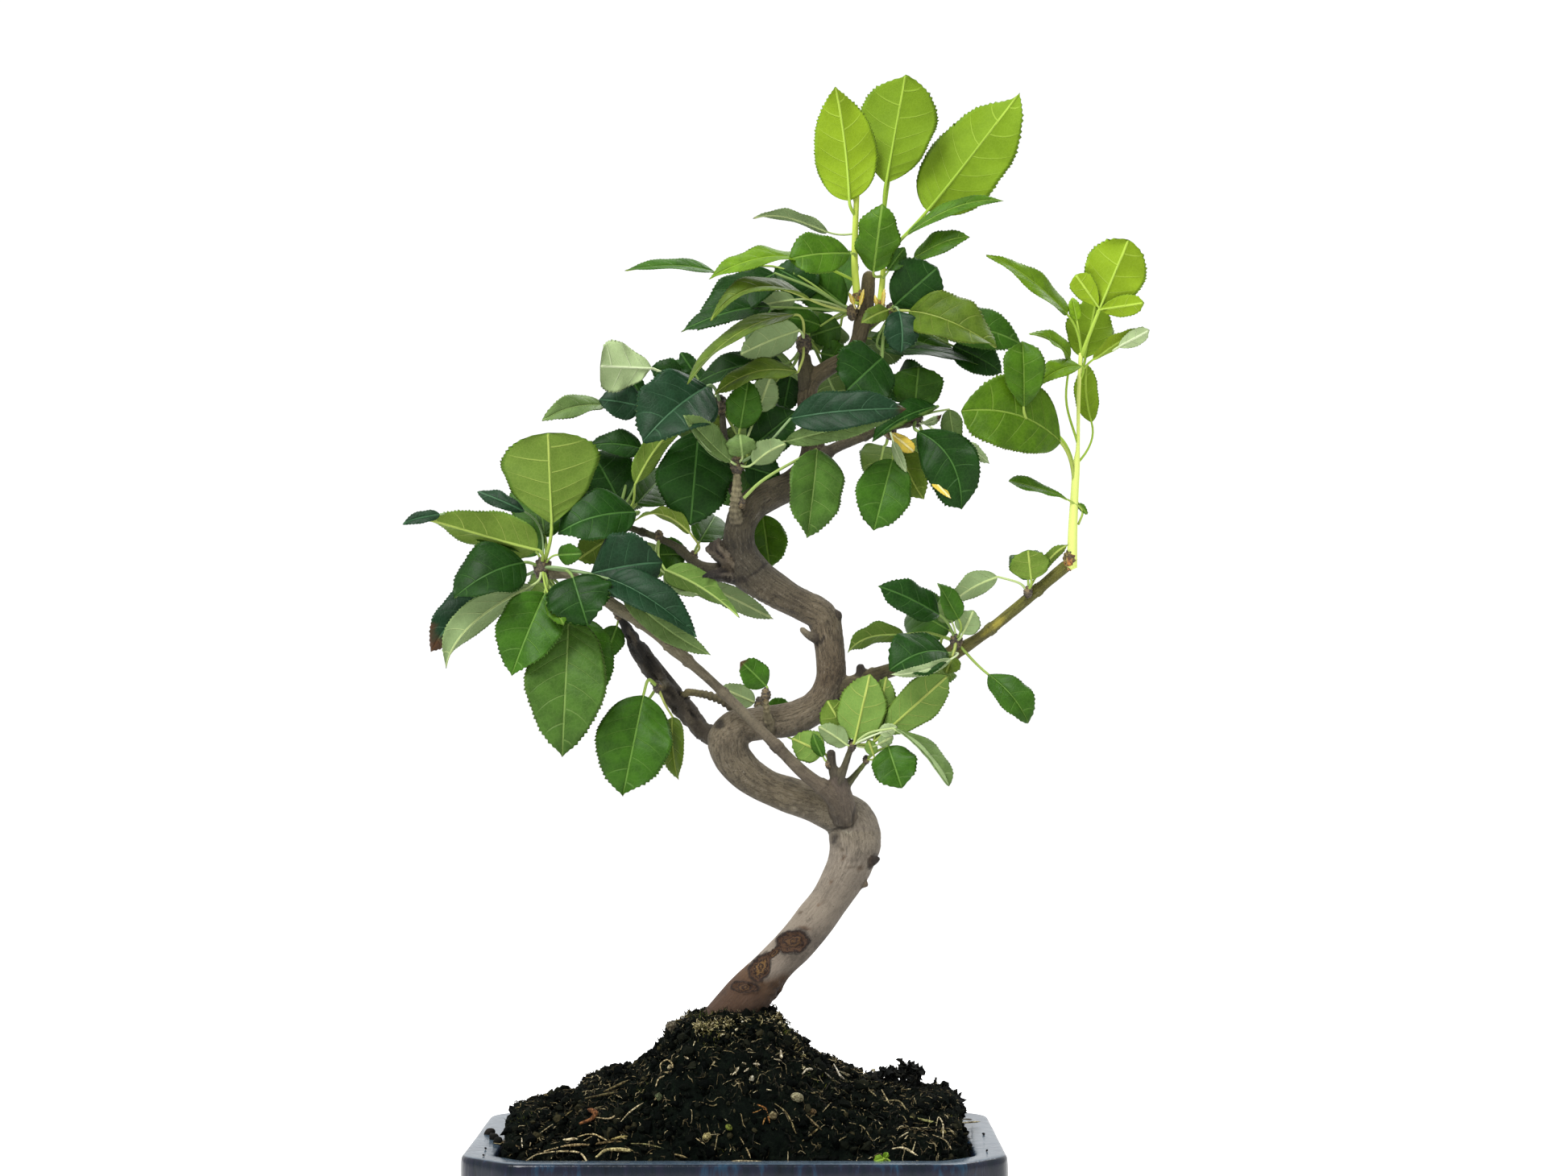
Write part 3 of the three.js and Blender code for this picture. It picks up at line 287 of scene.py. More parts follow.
def cut_corners(length, depth, cut, inset, bend=6, spread=10):
    """Rectangles with cut corners, one for each inset, whose cut shrinks by 0.59 of the inset: every
    corner is a parabola (1-t)^2 P + 2t(1-t) C + t^2 Q between two points of its sides, and each side
    is split evenly."""
    inset = np.atleast_1d(inset)[:, None].astype(float)
    a, b, c = 0.5 * length - inset, 0.5 * depth - inset, cut - 0.59 * inset
    x = np.concatenate([a, a - c, c - a, -a, -a, c - a, a - c, a], 1)
    y = np.concatenate([b - c, b, b, b - c, c - b, -b, -b, c - b], 1)
    corner = np.stack([x, y], -1)
    before = np.roll(corner, 1, 1) - corner
    after = np.roll(corner, -1, 1) - corner
    soft = 0.32 * c[:, :, None]
    start = corner + soft * before / np.linalg.norm(before, axis=-1, keepdims=True)
    end = corner + soft * after / np.linalg.norm(after, axis=-1, keepdims=True)
    t = np.linspace(0, 1, bend)[:, None]
    bends = (1 - t) ** 2 * start[:, :, None] + t**2 * end[:, :, None]
    bends = bends + 2 * t * (1 - t) * corner[:, :, None]
    s = np.linspace(0, 1, spread + 1)[1:-1, None]
    sides = (1 - s) * end[:, :, None] + s * np.roll(start, -1, 1)[:, :, None]
    return np.concatenate([bends, sides], 2).reshape(len(inset), -1, 2)


def softened(places, times=2):
    """A line with its corners cut: each pass keeps the ends and the quarter points between places."""
    places = np.asarray(places, float)
    for _ in range(times):
        first, second = places[:-1], places[1:]
        quarters = np.stack([0.75 * first + 0.25 * second, 0.25 * first + 0.75 * second], 1)
        places = np.concatenate([places[:1], quarters.reshape(-1, places.shape[1]), places[-1:]])
    return places


def closed_grid(rows, columns, flip=False):
    """Faces of a grid that wraps across its columns and ends in two poles, whose points come after
    the grid's: quads between the points, and a fan from each pole to the first and the last row."""
    i, j = np.meshgrid(np.arange(rows - 1), np.arange(columns), indexing="ij")
    beside = (j + 1) % columns
    corners = [i * columns + j, i * columns + beside, (i + 1) * columns + beside, (i + 1) * columns + j]
    quads = np.stack(corners, -1).reshape(-1, 4)
    k = np.arange(columns)
    after = (k + 1) % columns
    last = (rows - 1) * columns
    pole = np.full(columns, rows * columns)
    fans = np.concatenate([np.stack([pole, after, k], 1), np.stack([pole + 1, last + k, last + after], 1)])
    return [quads[:, ::-1], fans[:, ::-1]] if flip else [quads, fans]


def stacked(outlines, heights):
    """Points of outlines one above the other, and the faces that join and close them top and bottom."""
    rows, columns = outlines.shape[:2]
    z = np.broadcast_to(np.asarray(heights, float)[:, None, None], (rows, columns, 1))
    points = np.concatenate([outlines, z], -1).reshape(-1, 3)
    ends = np.array([points[:columns].mean(0), points[-columns:].mean(0)])
    return np.concatenate([points, ends]), closed_grid(rows, columns)


def clouds(points, size, seed):
    """Smooth noise from -1 to 1: random numbers on a lattice of the given spacing, blended between
    the eight corners round each point by 3t^2 - 2t^3."""
    table = np.random.default_rng(seed).uniform(-1, 1, (32, 32, 32))
    place = np.asarray(points) / size + 100
    cell = np.floor(place).astype(int)
    t = place - cell
    t = t * t * (3 - 2 * t)
    total = 0
    for corner in np.ndindex(2, 2, 2):
        i, j, k = np.moveaxis((cell + corner) % 32, -1, 0)
        total = total + np.prod(np.where(corner, t, 1 - t), axis=-1) * table[i, j, k]
    return total


def cut_from(piece, tool, operation):
    """Joins or cuts one closed piece with another, which is then removed."""
    change = piece.modifiers.new(operation, "BOOLEAN")
    change.operation = operation
    change.object = tool
    change.solver = "EXACT"
    finished = piece.evaluated_get(bpy.context.evaluated_depsgraph_get())
    mesh = bpy.data.meshes.new_from_object(finished)
    piece.modifiers.clear()
    piece.data = mesh
    bpy.data.objects.remove(tool)


glaze = Finish("blue_glaze", Roughness=0.18, Specular_IOR_Level=0.2)
spot = glaze.place()
run = glaze.noise(glaze.stretched(spot, (1, 1, 0.22)), 0.006, 5, 0.65, 0.4)
pool = glaze.noise(spot, 0.018, 3)
fleck = glaze.noise(spot, 0.0016, 3, 0.7)
upright = glaze.axes(glaze.node("NewGeometry", output=1))[2]
# The sides' paint; its palest stop puts painted glints, painted highlights, on the peaks of the runs.
side_blue = glaze.ramp(
    run * 0.7 + pool * 0.3,
    (0.3, paint("030509")),
    (0.44, paint("081420")),
    (0.52, paint("141627")),
    (0.62, paint("17354a")),
    (0.7, paint("2b5a7c")),
    (0.82, paint("8fb0c0")),
)
# Painted reflection: the upward faces get a mottled pale grey that stands for the white room seen in the
# glaze.
painted_top_reflection = glaze.ramp(
    pool * 0.5 + fleck * 0.5,
    (0.3, paint("2a3947")),
    (0.5, paint("43525f")),
    (0.68, paint("606c76")),
)
speck = fleck.step(0.72, 0.76)
colour = glaze.mix(upright.step(0.82, 0.985), side_blue, painted_top_reflection)
glaze.set(Base_Color=glaze.mix(speck * 0.8, colour, paint("141a26")))
glaze.relief(run * 0.6 + pool * 0.4, 0.0009, 0.5)

# The wall's section from the foot up the outside, over the rim and down the inside to the floor, as
# insets from the pot's outline and heights.
pot_profile = softened(
    [
        (22, FOOT_HEIGHT),
        (15, FOOT_HEIGHT),
        (10, 24), (6.2, 44), (6, 47), (1.5, 49), (0, 51.5),
        (0, RIM_TOP - 2.4),
        (0.6, RIM_TOP - 0.5),
        (2.2, RIM_TOP),
        (RIM_WIDTH - 3, RIM_TOP - 0.2),
        (RIM_WIDTH, RIM_TOP - 1.5),
        (RIM_WIDTH, RIM_TOP - 5),
        (14, 47),
        (21, FLOOR_TOP + 2),
        (25, FLOOR_TOP),
        (40, FLOOR_TOP),
    ]
)
outlines = cut_corners(POT_LENGTH, POT_DEPTH, CUT_CORNER, pot_profile[:, 0])
pot_points, pot_faces = stacked(outlines, pot_profile[:, 1])
uneven = 0.35 * np.abs(clouds(pot_points, 38, 11))[:, None] * (1, 1, 0)
pot_points = pot_points - uneven * np.sign(pot_points)
pot = shown("glazed_pot", mesh_of("glazed_pot", pot_points, pot_faces))
foot_profile = softened([(4, 0), (1.2, 0), (0.3, 1.5), (0, FOOT_HEIGHT + 3), (3, FOOT_HEIGHT + 3)])
foot_rings = cut_corners(FOOT_LENGTH, FOOT_DEPTH, FOOT_CORNER, foot_profile[:, 0], 4, 3)
for place in FOOT_PLACES:
    foot_points, foot_faces = stacked(foot_rings + place, foot_profile[:, 1])
    cut_from(pot, shown("foot", mesh_of("foot", foot_points, foot_faces)), "UNION")
turn = np.linspace(0, 2 * np.pi, 40, endpoint=False)
for x in DRAIN_PLACES:
    circle = 0.5 * DRAIN_HOLE * np.stack([np.cos(turn), np.sin(turn)], -1) + (x, 0)
    hole_points, hole_faces = stacked(np.stack([circle, circle]), [-5, FLOOR_TOP + 5])
    cut_from(pot, shown("hole", mesh_of("hole", hole_points, hole_faces)), "DIFFERENCE")
pot.data.set_sharp_from_angle(angle=math.radians(50))
pot.data.materials.clear()
pot.data.materials.append(glaze.material)
fixed(pot, "glaze", "pot")

# The drain screens. Two squares of black plastic mesh that keep the soil from washing through the
# holes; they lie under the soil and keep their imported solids.
plastic = Finish("black_plastic", Roughness=0.55)
grain = plastic.noise(plastic.place(), 0.0008, 3)
plastic.set(Base_Color=plastic.mix(grain, paint("131415"), paint("26282a")))
plastic.relief(grain, 0.0001)
for node in ("drain_screen_left", "drain_screen_right"):
    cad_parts[node].material_slots[0].material = plastic.material

# The soil. Dark, damp potting earth full of bark crumbs and roots, heaped up to the foot of the
# trunk and pressed into the pot, so its rough top stands well above the rim.
SOIL_EDGE = 51
SOIL_RINGS = 84
RIDGE = np.array(
    [
        (-90, 57), (-86, 71), (-70, 76), (-62, 77), (-58, 83), (-46, 86), (-38, 88),
        (-32, 93), (-26, 101), (-18, 108), (-6, 108.5), (14, 109.5), (20, 101), (28, 93),
        (40, 88), (52, 82), (66, 79), (80, 78), (86, 73), (90, 57),
    ]
)


def soil_height(x, y):
    """Height of the mound: the ridge line, interpolated along the pot, falls to the edge as
    1 - |y / half depth|^2.6."""
    ridge = np.interp(x, RIDGE[:, 0], RIDGE[:, 1])
    across = np.minimum(np.abs(y) / (0.5 * POT_DEPTH - RIM_WIDTH), 1)
    return SOIL_EDGE + (1 - across**2.6) * (ridge - SOIL_EDGE)


def rough(points, seed):
    """Moves points each way by clouds of several sizes, so that they lie like loose earth."""
    for size, depth in ((13, 1.5), (6, 1.5), (3, 1.15), (1.6, 0.6)):
        moved = [clouds(points, size, seed + k) for k in range(3)]
        points = points + depth * np.stack(moved, -1)
        seed += 3
    return points


soil_edge = cut_corners(POT_LENGTH, POT_DEPTH, CUT_CORNER, RIM_WIDTH + 0.6, 12, 40)
share = np.linspace(1, 0.03, SOIL_RINGS) ** 0.8
mound = soil_edge * share[:, None, None]
mound_z = soil_height(mound[..., 0], mound[..., 1])
wall_insets = [25, 21.4, 14.6, 14.1]
wall_z = [FLOOR_TOP + 2, FLOOR_TOP + 3.4, 46, SOIL_EDGE - 1.5]
sunk = cut_corners(POT_LENGTH, POT_DEPTH, CUT_CORNER, wall_insets, 12, 40)
soil_points, soil_faces = stacked(np.concatenate([sunk, mound]), np.zeros(len(sunk) + SOIL_RINGS))
columns = soil_edge.shape[1]
wall_count = len(sunk) * columns
soil_points[:wall_count, 2] = np.repeat(wall_z, columns)
soil_points[wall_count:-2, 2] = mound_z.ravel()
soil_points[-2:, 2] = wall_z[0], soil_points[-3, 2]
inner = slice(wall_count + 2 * columns, -2)
soil_points[inner] = rough(soil_points[inner], 21)

earth = Finish("potting_earth", Roughness=0.93, Specular_IOR_Level=0.02)
spot = earth.place()
lump = earth.noise(spot, 0.0045, 5, 0.7)
crumb = earth.noise(spot, 0.0011, 4, 0.75)
fibre = earth.noise(earth.stretched(spot, (1, 1, 0.4)), 0.0014, 2, 0.5, 2.5)
colour = earth.ramp(
    lump * 0.55 + crumb * 0.45,
    (0.36, paint("040605")),
    (0.52, paint("0b100c")),
    (0.62, paint("151a13")),
    (0.75, paint("252a1e")),
)
damp = earth.mix(fibre.step(0.63, 0.72) * 0.45, colour, paint("0f1f10"))
earth.set(Base_Color=damp)
earth.relief(crumb * 0.6 + lump * 0.4, 0.0016)
soil = shown("soil_mound", mesh_of("soil_mound", soil_points, soil_faces), earth)
fixed(soil, "earth", "soil")

# The crumbs. Bits of bark and clods of dried earth, up to about 5 mm across, which lie loose on the
# mound and along its edge, where watering has washed them free.
CRUMBS = 5200
random = np.random.default_rng(7)


def turned(count):
    """Random turns, each a matrix made from a random unit quaternion."""
    q = random.normal(size=(count, 4))
    w, x, y, z = (q / np.linalg.norm(q, axis=1, keepdims=True)).T
    rows = [
        [1 - 2 * (y * y + z * z), 2 * (x * y - w * z), 2 * (x * z + w * y)],
        [2 * (x * y + w * z), 1 - 2 * (x * x + z * z), 2 * (y * z - w * x)],
        [2 * (x * z - w * y), 2 * (y * z + w * x), 1 - 2 * (x * x + y * y)],
    ]
    return np.moveaxis(np.array(rows), -1, 0)


def on_mound(count, share=0.99):
    """Random places on the mound, even over the pot's opening."""
    half_length = (0.5 * POT_LENGTH - RIM_WIDTH) * share
    half_depth = (0.5 * POT_DEPTH - RIM_WIDTH) * share
    x, y = random.uniform(-1, 1, (2, count)) * [[half_length], [half_depth]]
    over = np.maximum(np.abs(x) + np.abs(y) - (half_length + half_depth - CUT_CORNER + 4), 0)
    x = x - np.sign(x) * over
    return np.stack([x, y, soil_height(x, y)], -1)


# The twelve corners of a regular solid of twenty triangles, and its faces, turned outwards.
golden = (1 + 5**0.5) / 2
LUMP = np.array([(0, a, b * golden) for a in (-1, 1) for b in (-1, 1)])
LUMP = np.concatenate([np.roll(LUMP, k, 1) for k in range(3)]) / math.hypot(1, golden)
far = np.linalg.norm(LUMP[:, None] - LUMP[None], axis=-1)
LUMP_FACES = np.array(
    [
        (i, j, k)
        for i in range(12)
        for j in range(i + 1, 12)
        for k in range(j + 1, 12)
        if max(far[i, j], far[j, k], far[i, k]) < 1.1
    ]
)
first, second, third = np.moveaxis(LUMP[LUMP_FACES], 1, 0)
inward = np.sum(np.cross(second - first, third - first) * first, -1)
LUMP_FACES[inward < 0] = LUMP_FACES[inward < 0][:, ::-1]


def lumps(places, sizes, flat=0.6):
    """Twelve-cornered crumbs: every corner at its own distance, flattened, turned and moved."""
    count = len(places)
    reach = random.uniform(0.65, 1.25, (count, 12, 1)) * sizes[:, None, None]
    corners = LUMP * reach * (1, 1, flat)
    points = np.einsum("nij,nkj->nki", turned(count), corners) + places[:, None]
    faces = LUMP_FACES + 12 * np.arange(count)[:, None, None]
    return points.reshape(-1, 3), faces.reshape(-1, 3)


crumb_places = on_mound(CRUMBS)
crumb_places += random.normal(0, 0.7, crumb_places.shape)
crumb_sizes = np.exp(random.normal(0.05, 0.5, CRUMBS)).clip(0.4, 3.2)
crumb_points, crumb_faces = lumps(crumb_places, crumb_sizes)
crumb_mesh = mesh_of("soil_crumbs", crumb_points, [crumb_faces])
crumb_mesh.polygons.foreach_set("use_smooth", np.zeros(len(crumb_faces), bool))
shade = random.uniform(0, 1, CRUMBS) ** 3.2
store(crumb_mesh, "shade", np.repeat(shade, 12))
loose = Finish("loose_crumbs", Roughness=0.9, Specular_IOR_Level=0.02)
rough_bark = loose.noise(loose.place(), 0.0012, 4, 0.7)
tone = loose.ramp(
    loose.stored("shade", 2) * 0.75 + rough_bark * 0.25,
    (0.15, paint("050706")),
    (0.45, paint("0f120d")),
    (0.7, paint("1f2017")),
    (0.97, paint("413c28")),
)
loose.set(Base_Color=tone)
loose.relief(rough_bark, 0.0006)
fixed(shown("soil_crumbs", crumb_mesh, loose), "earth")

# The wood. Trunk, branches and twigs grew as one piece; the trunk was wired into curves when young.
# Smooth pale bark low down, brown and fibrous higher up, and pruning wounds that have callused over.
WOOD_CELL = 0.8
LIMB_STEP = 1.0
LIMB_SIDES = 20
SKIN_BLOCK = 4000
NODE_PITCH = 17
# The middle of the trunk from the soil up, as (u, v, d, radius).
TRUNK = [
    (-14, 88, 0, 9), (-7, 101, 0, 10.5), (2.5, 112.5, 0, 9.6), (9, 121, 0, 8.4),
    (16, 129, 0, 7.8), (22.5, 135.5, 0, 7.9), (30.4, 145, 1, 7.7), (36, 152.5, 2, 7.6),
    (41, 160.5, 3, 8.3), (45.3, 169, 4, 9.5), (46.5, 177, 5, 10.4), (44, 184.5, 5, 9.6),
    (34.5, 189.5, 4, 8), (25, 192.8, 3, 7), (17.5, 195.2, 2, 6.7), (9.8, 198.4, 1, 6.5),
    (3, 203.4, 0, 6.8), (-2.2, 209.5, -1, 7.5), (-3.8, 215.5, -2, 8.4), (0, 220.8, -2, 7),
    (9, 222.3, -1, 6.4), (19, 223.6, 0, 6.5), (27.5, 226.3, 1, 6.6), (33.6, 231, 2, 6.7),
    (36.8, 239, 3, 6.2), (36.9, 249, 4, 6), (35.8, 257, 4, 6.2), (33.3, 264.5, 4, 6.5),
    (26.6, 268.6, 3, 6.4), (17.2, 273.8, 1, 6.8), (9, 278.8, 0, 7.3), (3, 284.8, -1, 7.9),
    (0.8, 293, -1, 6.7), (1.4, 301, 0, 6.4), (6, 308.2, 2, 6.5), (14.5, 313.2, 4, 6.2),
    (22.5, 317.3, 6, 5.8), (28.5, 325, 7, 5.2), (30, 337, 7, 4.6), (27.6, 350, 6, 4),
    (29.5, 358, 5.5, 3.6), (36.5, 363.5, 4.5, 3.4), (43.5, 367.5, 3.5, 3.3),
    (47.6, 373.5, 2.5, 3.3), (49.6, 381, 1.5, 3.2), (51.3, 390, 1, 2.8),
    (52.3, 401, 0, 2.4),
]
# The paint of the trunk's bark at heights v.
TRUNK_BARK = {
    95: "46301f",
    112: "48301c",
    120: "5a4026",
    123: "83776a",
    150: "867b6c",
    170: "8c8172",
    186: "8f846e",
    192: "7e725a",
    222: "8a7d66",
    240: "5e4f3a",
    262: "80725a",
    272: "766a54",
    282: "5a5240",
    292: "3e3728",
    301: "544c38",
    325: "6a5f49",
    372: "665a3e",
    400: "70643a",
}
# Each branch: the paints of its bark at its foot and its end, and its places (u, v, d, radius).
BRANCHES = {
    "front": [
        "66594a 8c8468",
        (42.4, 185.6, -1.5, 5.2), (40.5, 191, -6.5, 4.7), (35.2, 196, -11, 3.4),
        (27, 202.2, -13.5, 2.7), (13, 216, -14.5, 2.2), (-2, 231, -14, 2), (-12, 240.6, -13, 2.1),
        (-20.5, 248, -12.5, 2.4), (-24.5, 252, -12, 3.2), (-30, 256.4, -11.5, 2.4),
        (-39, 263, -11, 2.5), (-47.5, 268, -10, 2.6), (-57, 275.5, -9, 2), (-66, 281, -8, 1.9),
        (-74.5, 281.8, -8, 2.8),
    ],
    "dark": [
        "5a5042 1b1815",
        (-2, 213, 2, 5), (-13.5, 219.5, 7, 4.2), (-20, 227, 8, 4.4), (-27.5, 236, 9, 4.5),
        (-34.5, 245.5, 9, 4), (-41, 255, 8, 3.6), (-46, 264, 8, 1.4),
    ],
    "knuckle": ["5c503d 3f3529", (0, 286, -1, 6), (-6.5, 289.5, -2, 4.3), (-10.5, 293.6, -3, 2.6)],
    "claw": [
        "6c5e48 43382c",
        (-1, 284, -4, 3.6), (-5, 287.5, -7.5, 2.4), (-8.3, 291.5, -8, 1.9), (-7.2, 295.6, -7, 1.2),
    ],
    "heel": ["3a3026 1d1812", (-3, 281, -3, 3.6), (-9.5, 281, -5, 2.4), (-14.5, 280.2, -5.5, 1.5)],
    "left": [
        "5b5242 4a4a2c",
        (1, 281.5, 2, 5), (-7, 282.3, 5, 3.6), (-15, 284.5, 7, 2.4), (-23, 291.5, 8, 1.7),
        (-31, 295.6, 8, 1.6), (-39, 298.5, 8, 1.5), (-47, 301, 7, 1.3),
    ],
    "right": [
        "6a5e48 6b6a20",
        (36, 233, 3, 5), (45, 237.3, 1, 3.9), (52.5, 240.6, -1, 3.2), (63, 244, -3, 2.9),
        (76, 247.6, -5, 2.6), (86, 250.6, -6, 3), (95, 255.8, -7, 2.3), (109, 266.8, -9, 2.3),
        (121, 277, -11, 2.4), (130.5, 285, -12, 2.6),
    ],
    "fork": ["6e6252 62564a", (42.4, 185.4, -2.4, 4.9), (41.5, 193, -8, 4.4), (39.5, 200, -10, 3.2)],
    "fork_stub": ["625a48 3f372a", (39.5, 199, -10, 2.6), (37.6, 205, -11, 1.9), (37, 211.5, -12, 1.8)],
    "fork_stem": ["625a48 4e4a2e", (40, 199, -11, 2.2), (42.6, 206, -13, 1.6), (45, 213, -15, 1.3)],
    "fork_shoot": ["625a48 6d7a35", (41.5, 196, -8, 2), (46.5, 202, -9, 1.4), (51, 207.5, -11, 1)],
    "trunk_spur": ["857b60 978c66", (13.5, 220, -5, 2), (11.8, 227, -9, 1.4), (11.3, 232.5, -11, 1.2)],
    "loop_spur": [
        "6b6250 8a8058",
        (3, 225, 4, 2.6), (-6, 231.5, 6, 1.8), (-14, 234, 6, 1.6), (-20.5, 234.8, 5, 1.5),
    ],
    "dark_spur": ["3a362e 8a8058", (-28, 238, 7, 2.4), (-30.6, 236.6, 1, 1.7), (-31.2, 236.2, -3, 1.3)],
    "ringed_spur": [
        "756b58 a39a74",
        (0.5, 300, -3, 3), (-1, 307, -8, 2.2), (-0.3, 314, -10, 2.1), (0, 321.5, -10, 1.5),
    ],
    "loop_twig": ["6d6555 5d5a3c", (7, 309, 3, 2.6), (8, 308, 9, 1.5), (8.4, 307, 11.6, 1.1)],
    "back_twig": [
        "5b5142 4a4634",
        (5, 306, 5, 3), (-4, 319, 9, 1.8), (-5, 333, 9, 1.7), (-6, 346, 7, 1.3),
    ],
    "middle": [
        "5c5244 4f4a2e",
        (28, 324, 6, 3.4), (38, 331, 3, 2.3), (48, 335.2, 1, 2), (58, 338.8, -1, 1.8),
        (70, 342, -3, 1.4),
    ],
    "crown_spur": ["4f4636 5a5436", (28, 351, 6, 3.6), (27.2, 360, 5, 3.4), (26.6, 368.5, 4, 2.4)],
    "crown_right": ["6a6140 6f7040", (49.5, 380, 2, 2.4), (55, 382.5, 2, 1.7), (60.5, 384.5, 1, 1.3)],
    "behind_twig": ["62594a 5d5a3c", (8, 224, 4, 2), (8.5, 228, 10, 1.3), (9, 229, 14, 1.1)],
    "bent_stub": ["4a4034 8a806a", (31, 256, 1, 2.3), (27.6, 257.6, -1, 1.6), (25.2, 260, -1, 1.2)],
    "top_knob": ["5f5443 3a3024", (36, 263.5, 3, 3), (40.8, 265.4, 2, 2)],
    "right_stub": [
        "4f4636 2c231a",
        (48.6, 239.6, -1, 2.2), (48.8, 243, -1.5, 2), (48.4, 245.4, -1.5, 1.7),
    ],
    "side_knot": ["4a3b2c 1a130d", (51, 168, 0, 3.4), (54.6, 168.6, -3, 1.7), (55.8, 169.6, -4, 1.1)],
    "side_nub": ["8d826f 6b5a44", (49, 159.4, 1, 2), (51.5, 158.8, 0, 1.1)],
    "root_left": ["5a4130 3c2d20", (-10, 97, 0, 6), (-25, 84, -10, 3.6), (-40, 68, -18, 1.8)],
    "root_right": ["5a4130 3c2d20", (-8, 95, 0, 6), (8, 84, 10, 3.4), (24, 66, 18, 1.7)],
    "root_back": ["5a4130 3c2d20", (-12, 93, 2, 6), (-20, 76, 16, 3.2), (-24, 58, 28, 1.6)],
    "root_front": ["5a4130 3c2d20", (-10, 93, -2, 6), (-4, 76, -14, 3.2), (4, 58, -26, 1.6)],
}


def seen(places):
    """Points at depth d on the lines of sight through (u, v) of the upright plane."""
    u, v, d = np.moveaxis(np.asarray(places, float)[..., :3], -1, 0)
    reach = (EYE_AWAY + d) / EYE_AWAY
    return np.stack([EYE_X + (u - EYE_X) * reach, d, EYE_HEIGHT + (v - EYE_HEIGHT) * reach], -1)


def sighted(points):
    """The (u, v) of points on the upright plane, the reverse of seen."""
    x, y, z = np.moveaxis(np.asarray(points), -1, 0)
    reach = (EYE_AWAY + y) / EYE_AWAY
    return EYE_X + (x - EYE_X) / reach, EYE_HEIGHT + (z - EYE_HEIGHT) / reach


def through(places, t):
    """Centripetal Catmull-Rom curve through places, where t counts places from the first. Columns
    after the third, such as a radius, are carried along."""
    places = np.asarray(places, float)
    p = np.concatenate([2 * places[:1] - places[1:2], places, 2 * places[-1:] - places[-2:-1]])
    gap = np.sqrt(np.linalg.norm(np.diff(p[:, :3], axis=0), axis=1))[:, None]
    i = np.clip(np.floor(t).astype(int), 0, len(places) - 2)
    w = (t - i)[:, None]
    p0, p1, p2, p3 = (p[i + k] for k in range(4))
    g0, g1, g2 = (gap[i + k] for k in range(3))
    m1 = ((p1 - p0) / g0 - (p2 - p0) / (g0 + g1) + (p2 - p1) / g1) * g1
    m2 = ((p2 - p1) / g1 - (p3 - p1) / (g1 + g2) + (p3 - p2) / g2) * g1
    return p1 + w * (m1 + w * (3 * (p2 - p1) - 2 * m1 - m2 + w * (2 * (p1 - p2) + m1 + m2)))


def unit(vectors):
    """Vectors divided by their lengths."""
    return vectors / np.maximum(np.linalg.norm(vectors, axis=-1, keepdims=True), 1e-9)


def copied(faces, count, size):
    """The faces of count alike things, each of which has size points."""
    start = size * np.arange(count)[:, None, None]
    return [(f + start).reshape(-1, f.shape[1]) for f in faces]


def tubes(paths, radii, sides, dome=0.5):
    """Round tubes along paths of shape (tubes, places, 3), closed by domes: centre + radius
    (cos a side + sin a other), each side being the last one laid square to the path."""
    paths = np.asarray(paths, float)
    count, places = paths.shape[:2]
    radii = np.broadcast_to(radii, (count, places))
    along = unit(np.gradient(paths, axis=1))
    side = np.empty_like(paths)
    last = np.cross(along[:, 0], (0.9, 0.2, 0.4)) + (0, 0, 1e-4)
    for k in range(places):
        last = unit(last - np.sum(last * along[:, k], -1, keepdims=True) * along[:, k])
        side[:, k] = last
    other = np.cross(along, side)
    turn = np.linspace(0, 2 * np.pi, sides, endpoint=False)[:, None]
    rings = np.cos(turn) * side[:, :, None] + np.sin(turn) * other[:, :, None]
    rings = paths[:, :, None] + radii[:, :, None, None] * rings
    tips = np.stack(
        [
            paths[:, 0] - dome * radii[:, :1] * along[:, 0],
            paths[:, -1] + dome * radii[:, -1:] * along[:, -1],
        ],
        1,
    )
    points = np.concatenate([rings.reshape(count, -1, 3), tips], 1)
    return points.reshape(-1, 3), copied(closed_grid(places, sides), count, points.shape[1])


def limb(places, step=LIMB_STEP):
    """Places of a limb a step apart, with the radius in the fourth column."""
    places = np.asarray(places, float)
    knots = np.concatenate([seen(places), places[:, 3:]], 1)
    length = np.linalg.norm(np.diff(knots[:, :3], axis=0), axis=1).sum()
    return through(knots, np.linspace(0, len(places) - 1, max(4, int(length / step))))


limbs = {"trunk": limb(TRUNK)}
limbs.update({name: limb(places) for name, (_, *places) in BRANCHES.items()})
wood_points = []
wood_faces = []
for path in limbs.values():
    limb_points, limb_faces = tubes(path[None, :, :3], path[None, :, 3], LIMB_SIDES)
    start = sum(map(len, wood_points))
    wood_points.append(limb_points)
    wood_faces += [f + start for f in limb_faces]
wood = shown("wood", mesh_of("wood", np.concatenate(wood_points), wood_faces))
grow = wood.modifiers.new("grown_together", "REMESH")
grow.mode = "VOXEL"
grow.voxel_size = WOOD_CELL * MM
fillet = wood.modifiers.new("fillet", "SMOOTH")
fillet.factor = 0.5
fillet.iterations = 4
wood_mesh = bpy.data.meshes.new_from_object(wood.evaluated_get(bpy.context.evaluated_depsgraph_get()))
wood.modifiers.clear()
wood.data = wood_mesh
count = len(wood_mesh.vertices)
buffer = np.empty(count * 3, np.float32)
wood_mesh.vertices.foreach_get("co", buffer)
skin = buffer.reshape(-1, 3) / MM - POT_MIDDLE
wood_mesh.vertex_normals.foreach_get("vector", buffer)
out = buffer.reshape(-1, 3).astype(float)

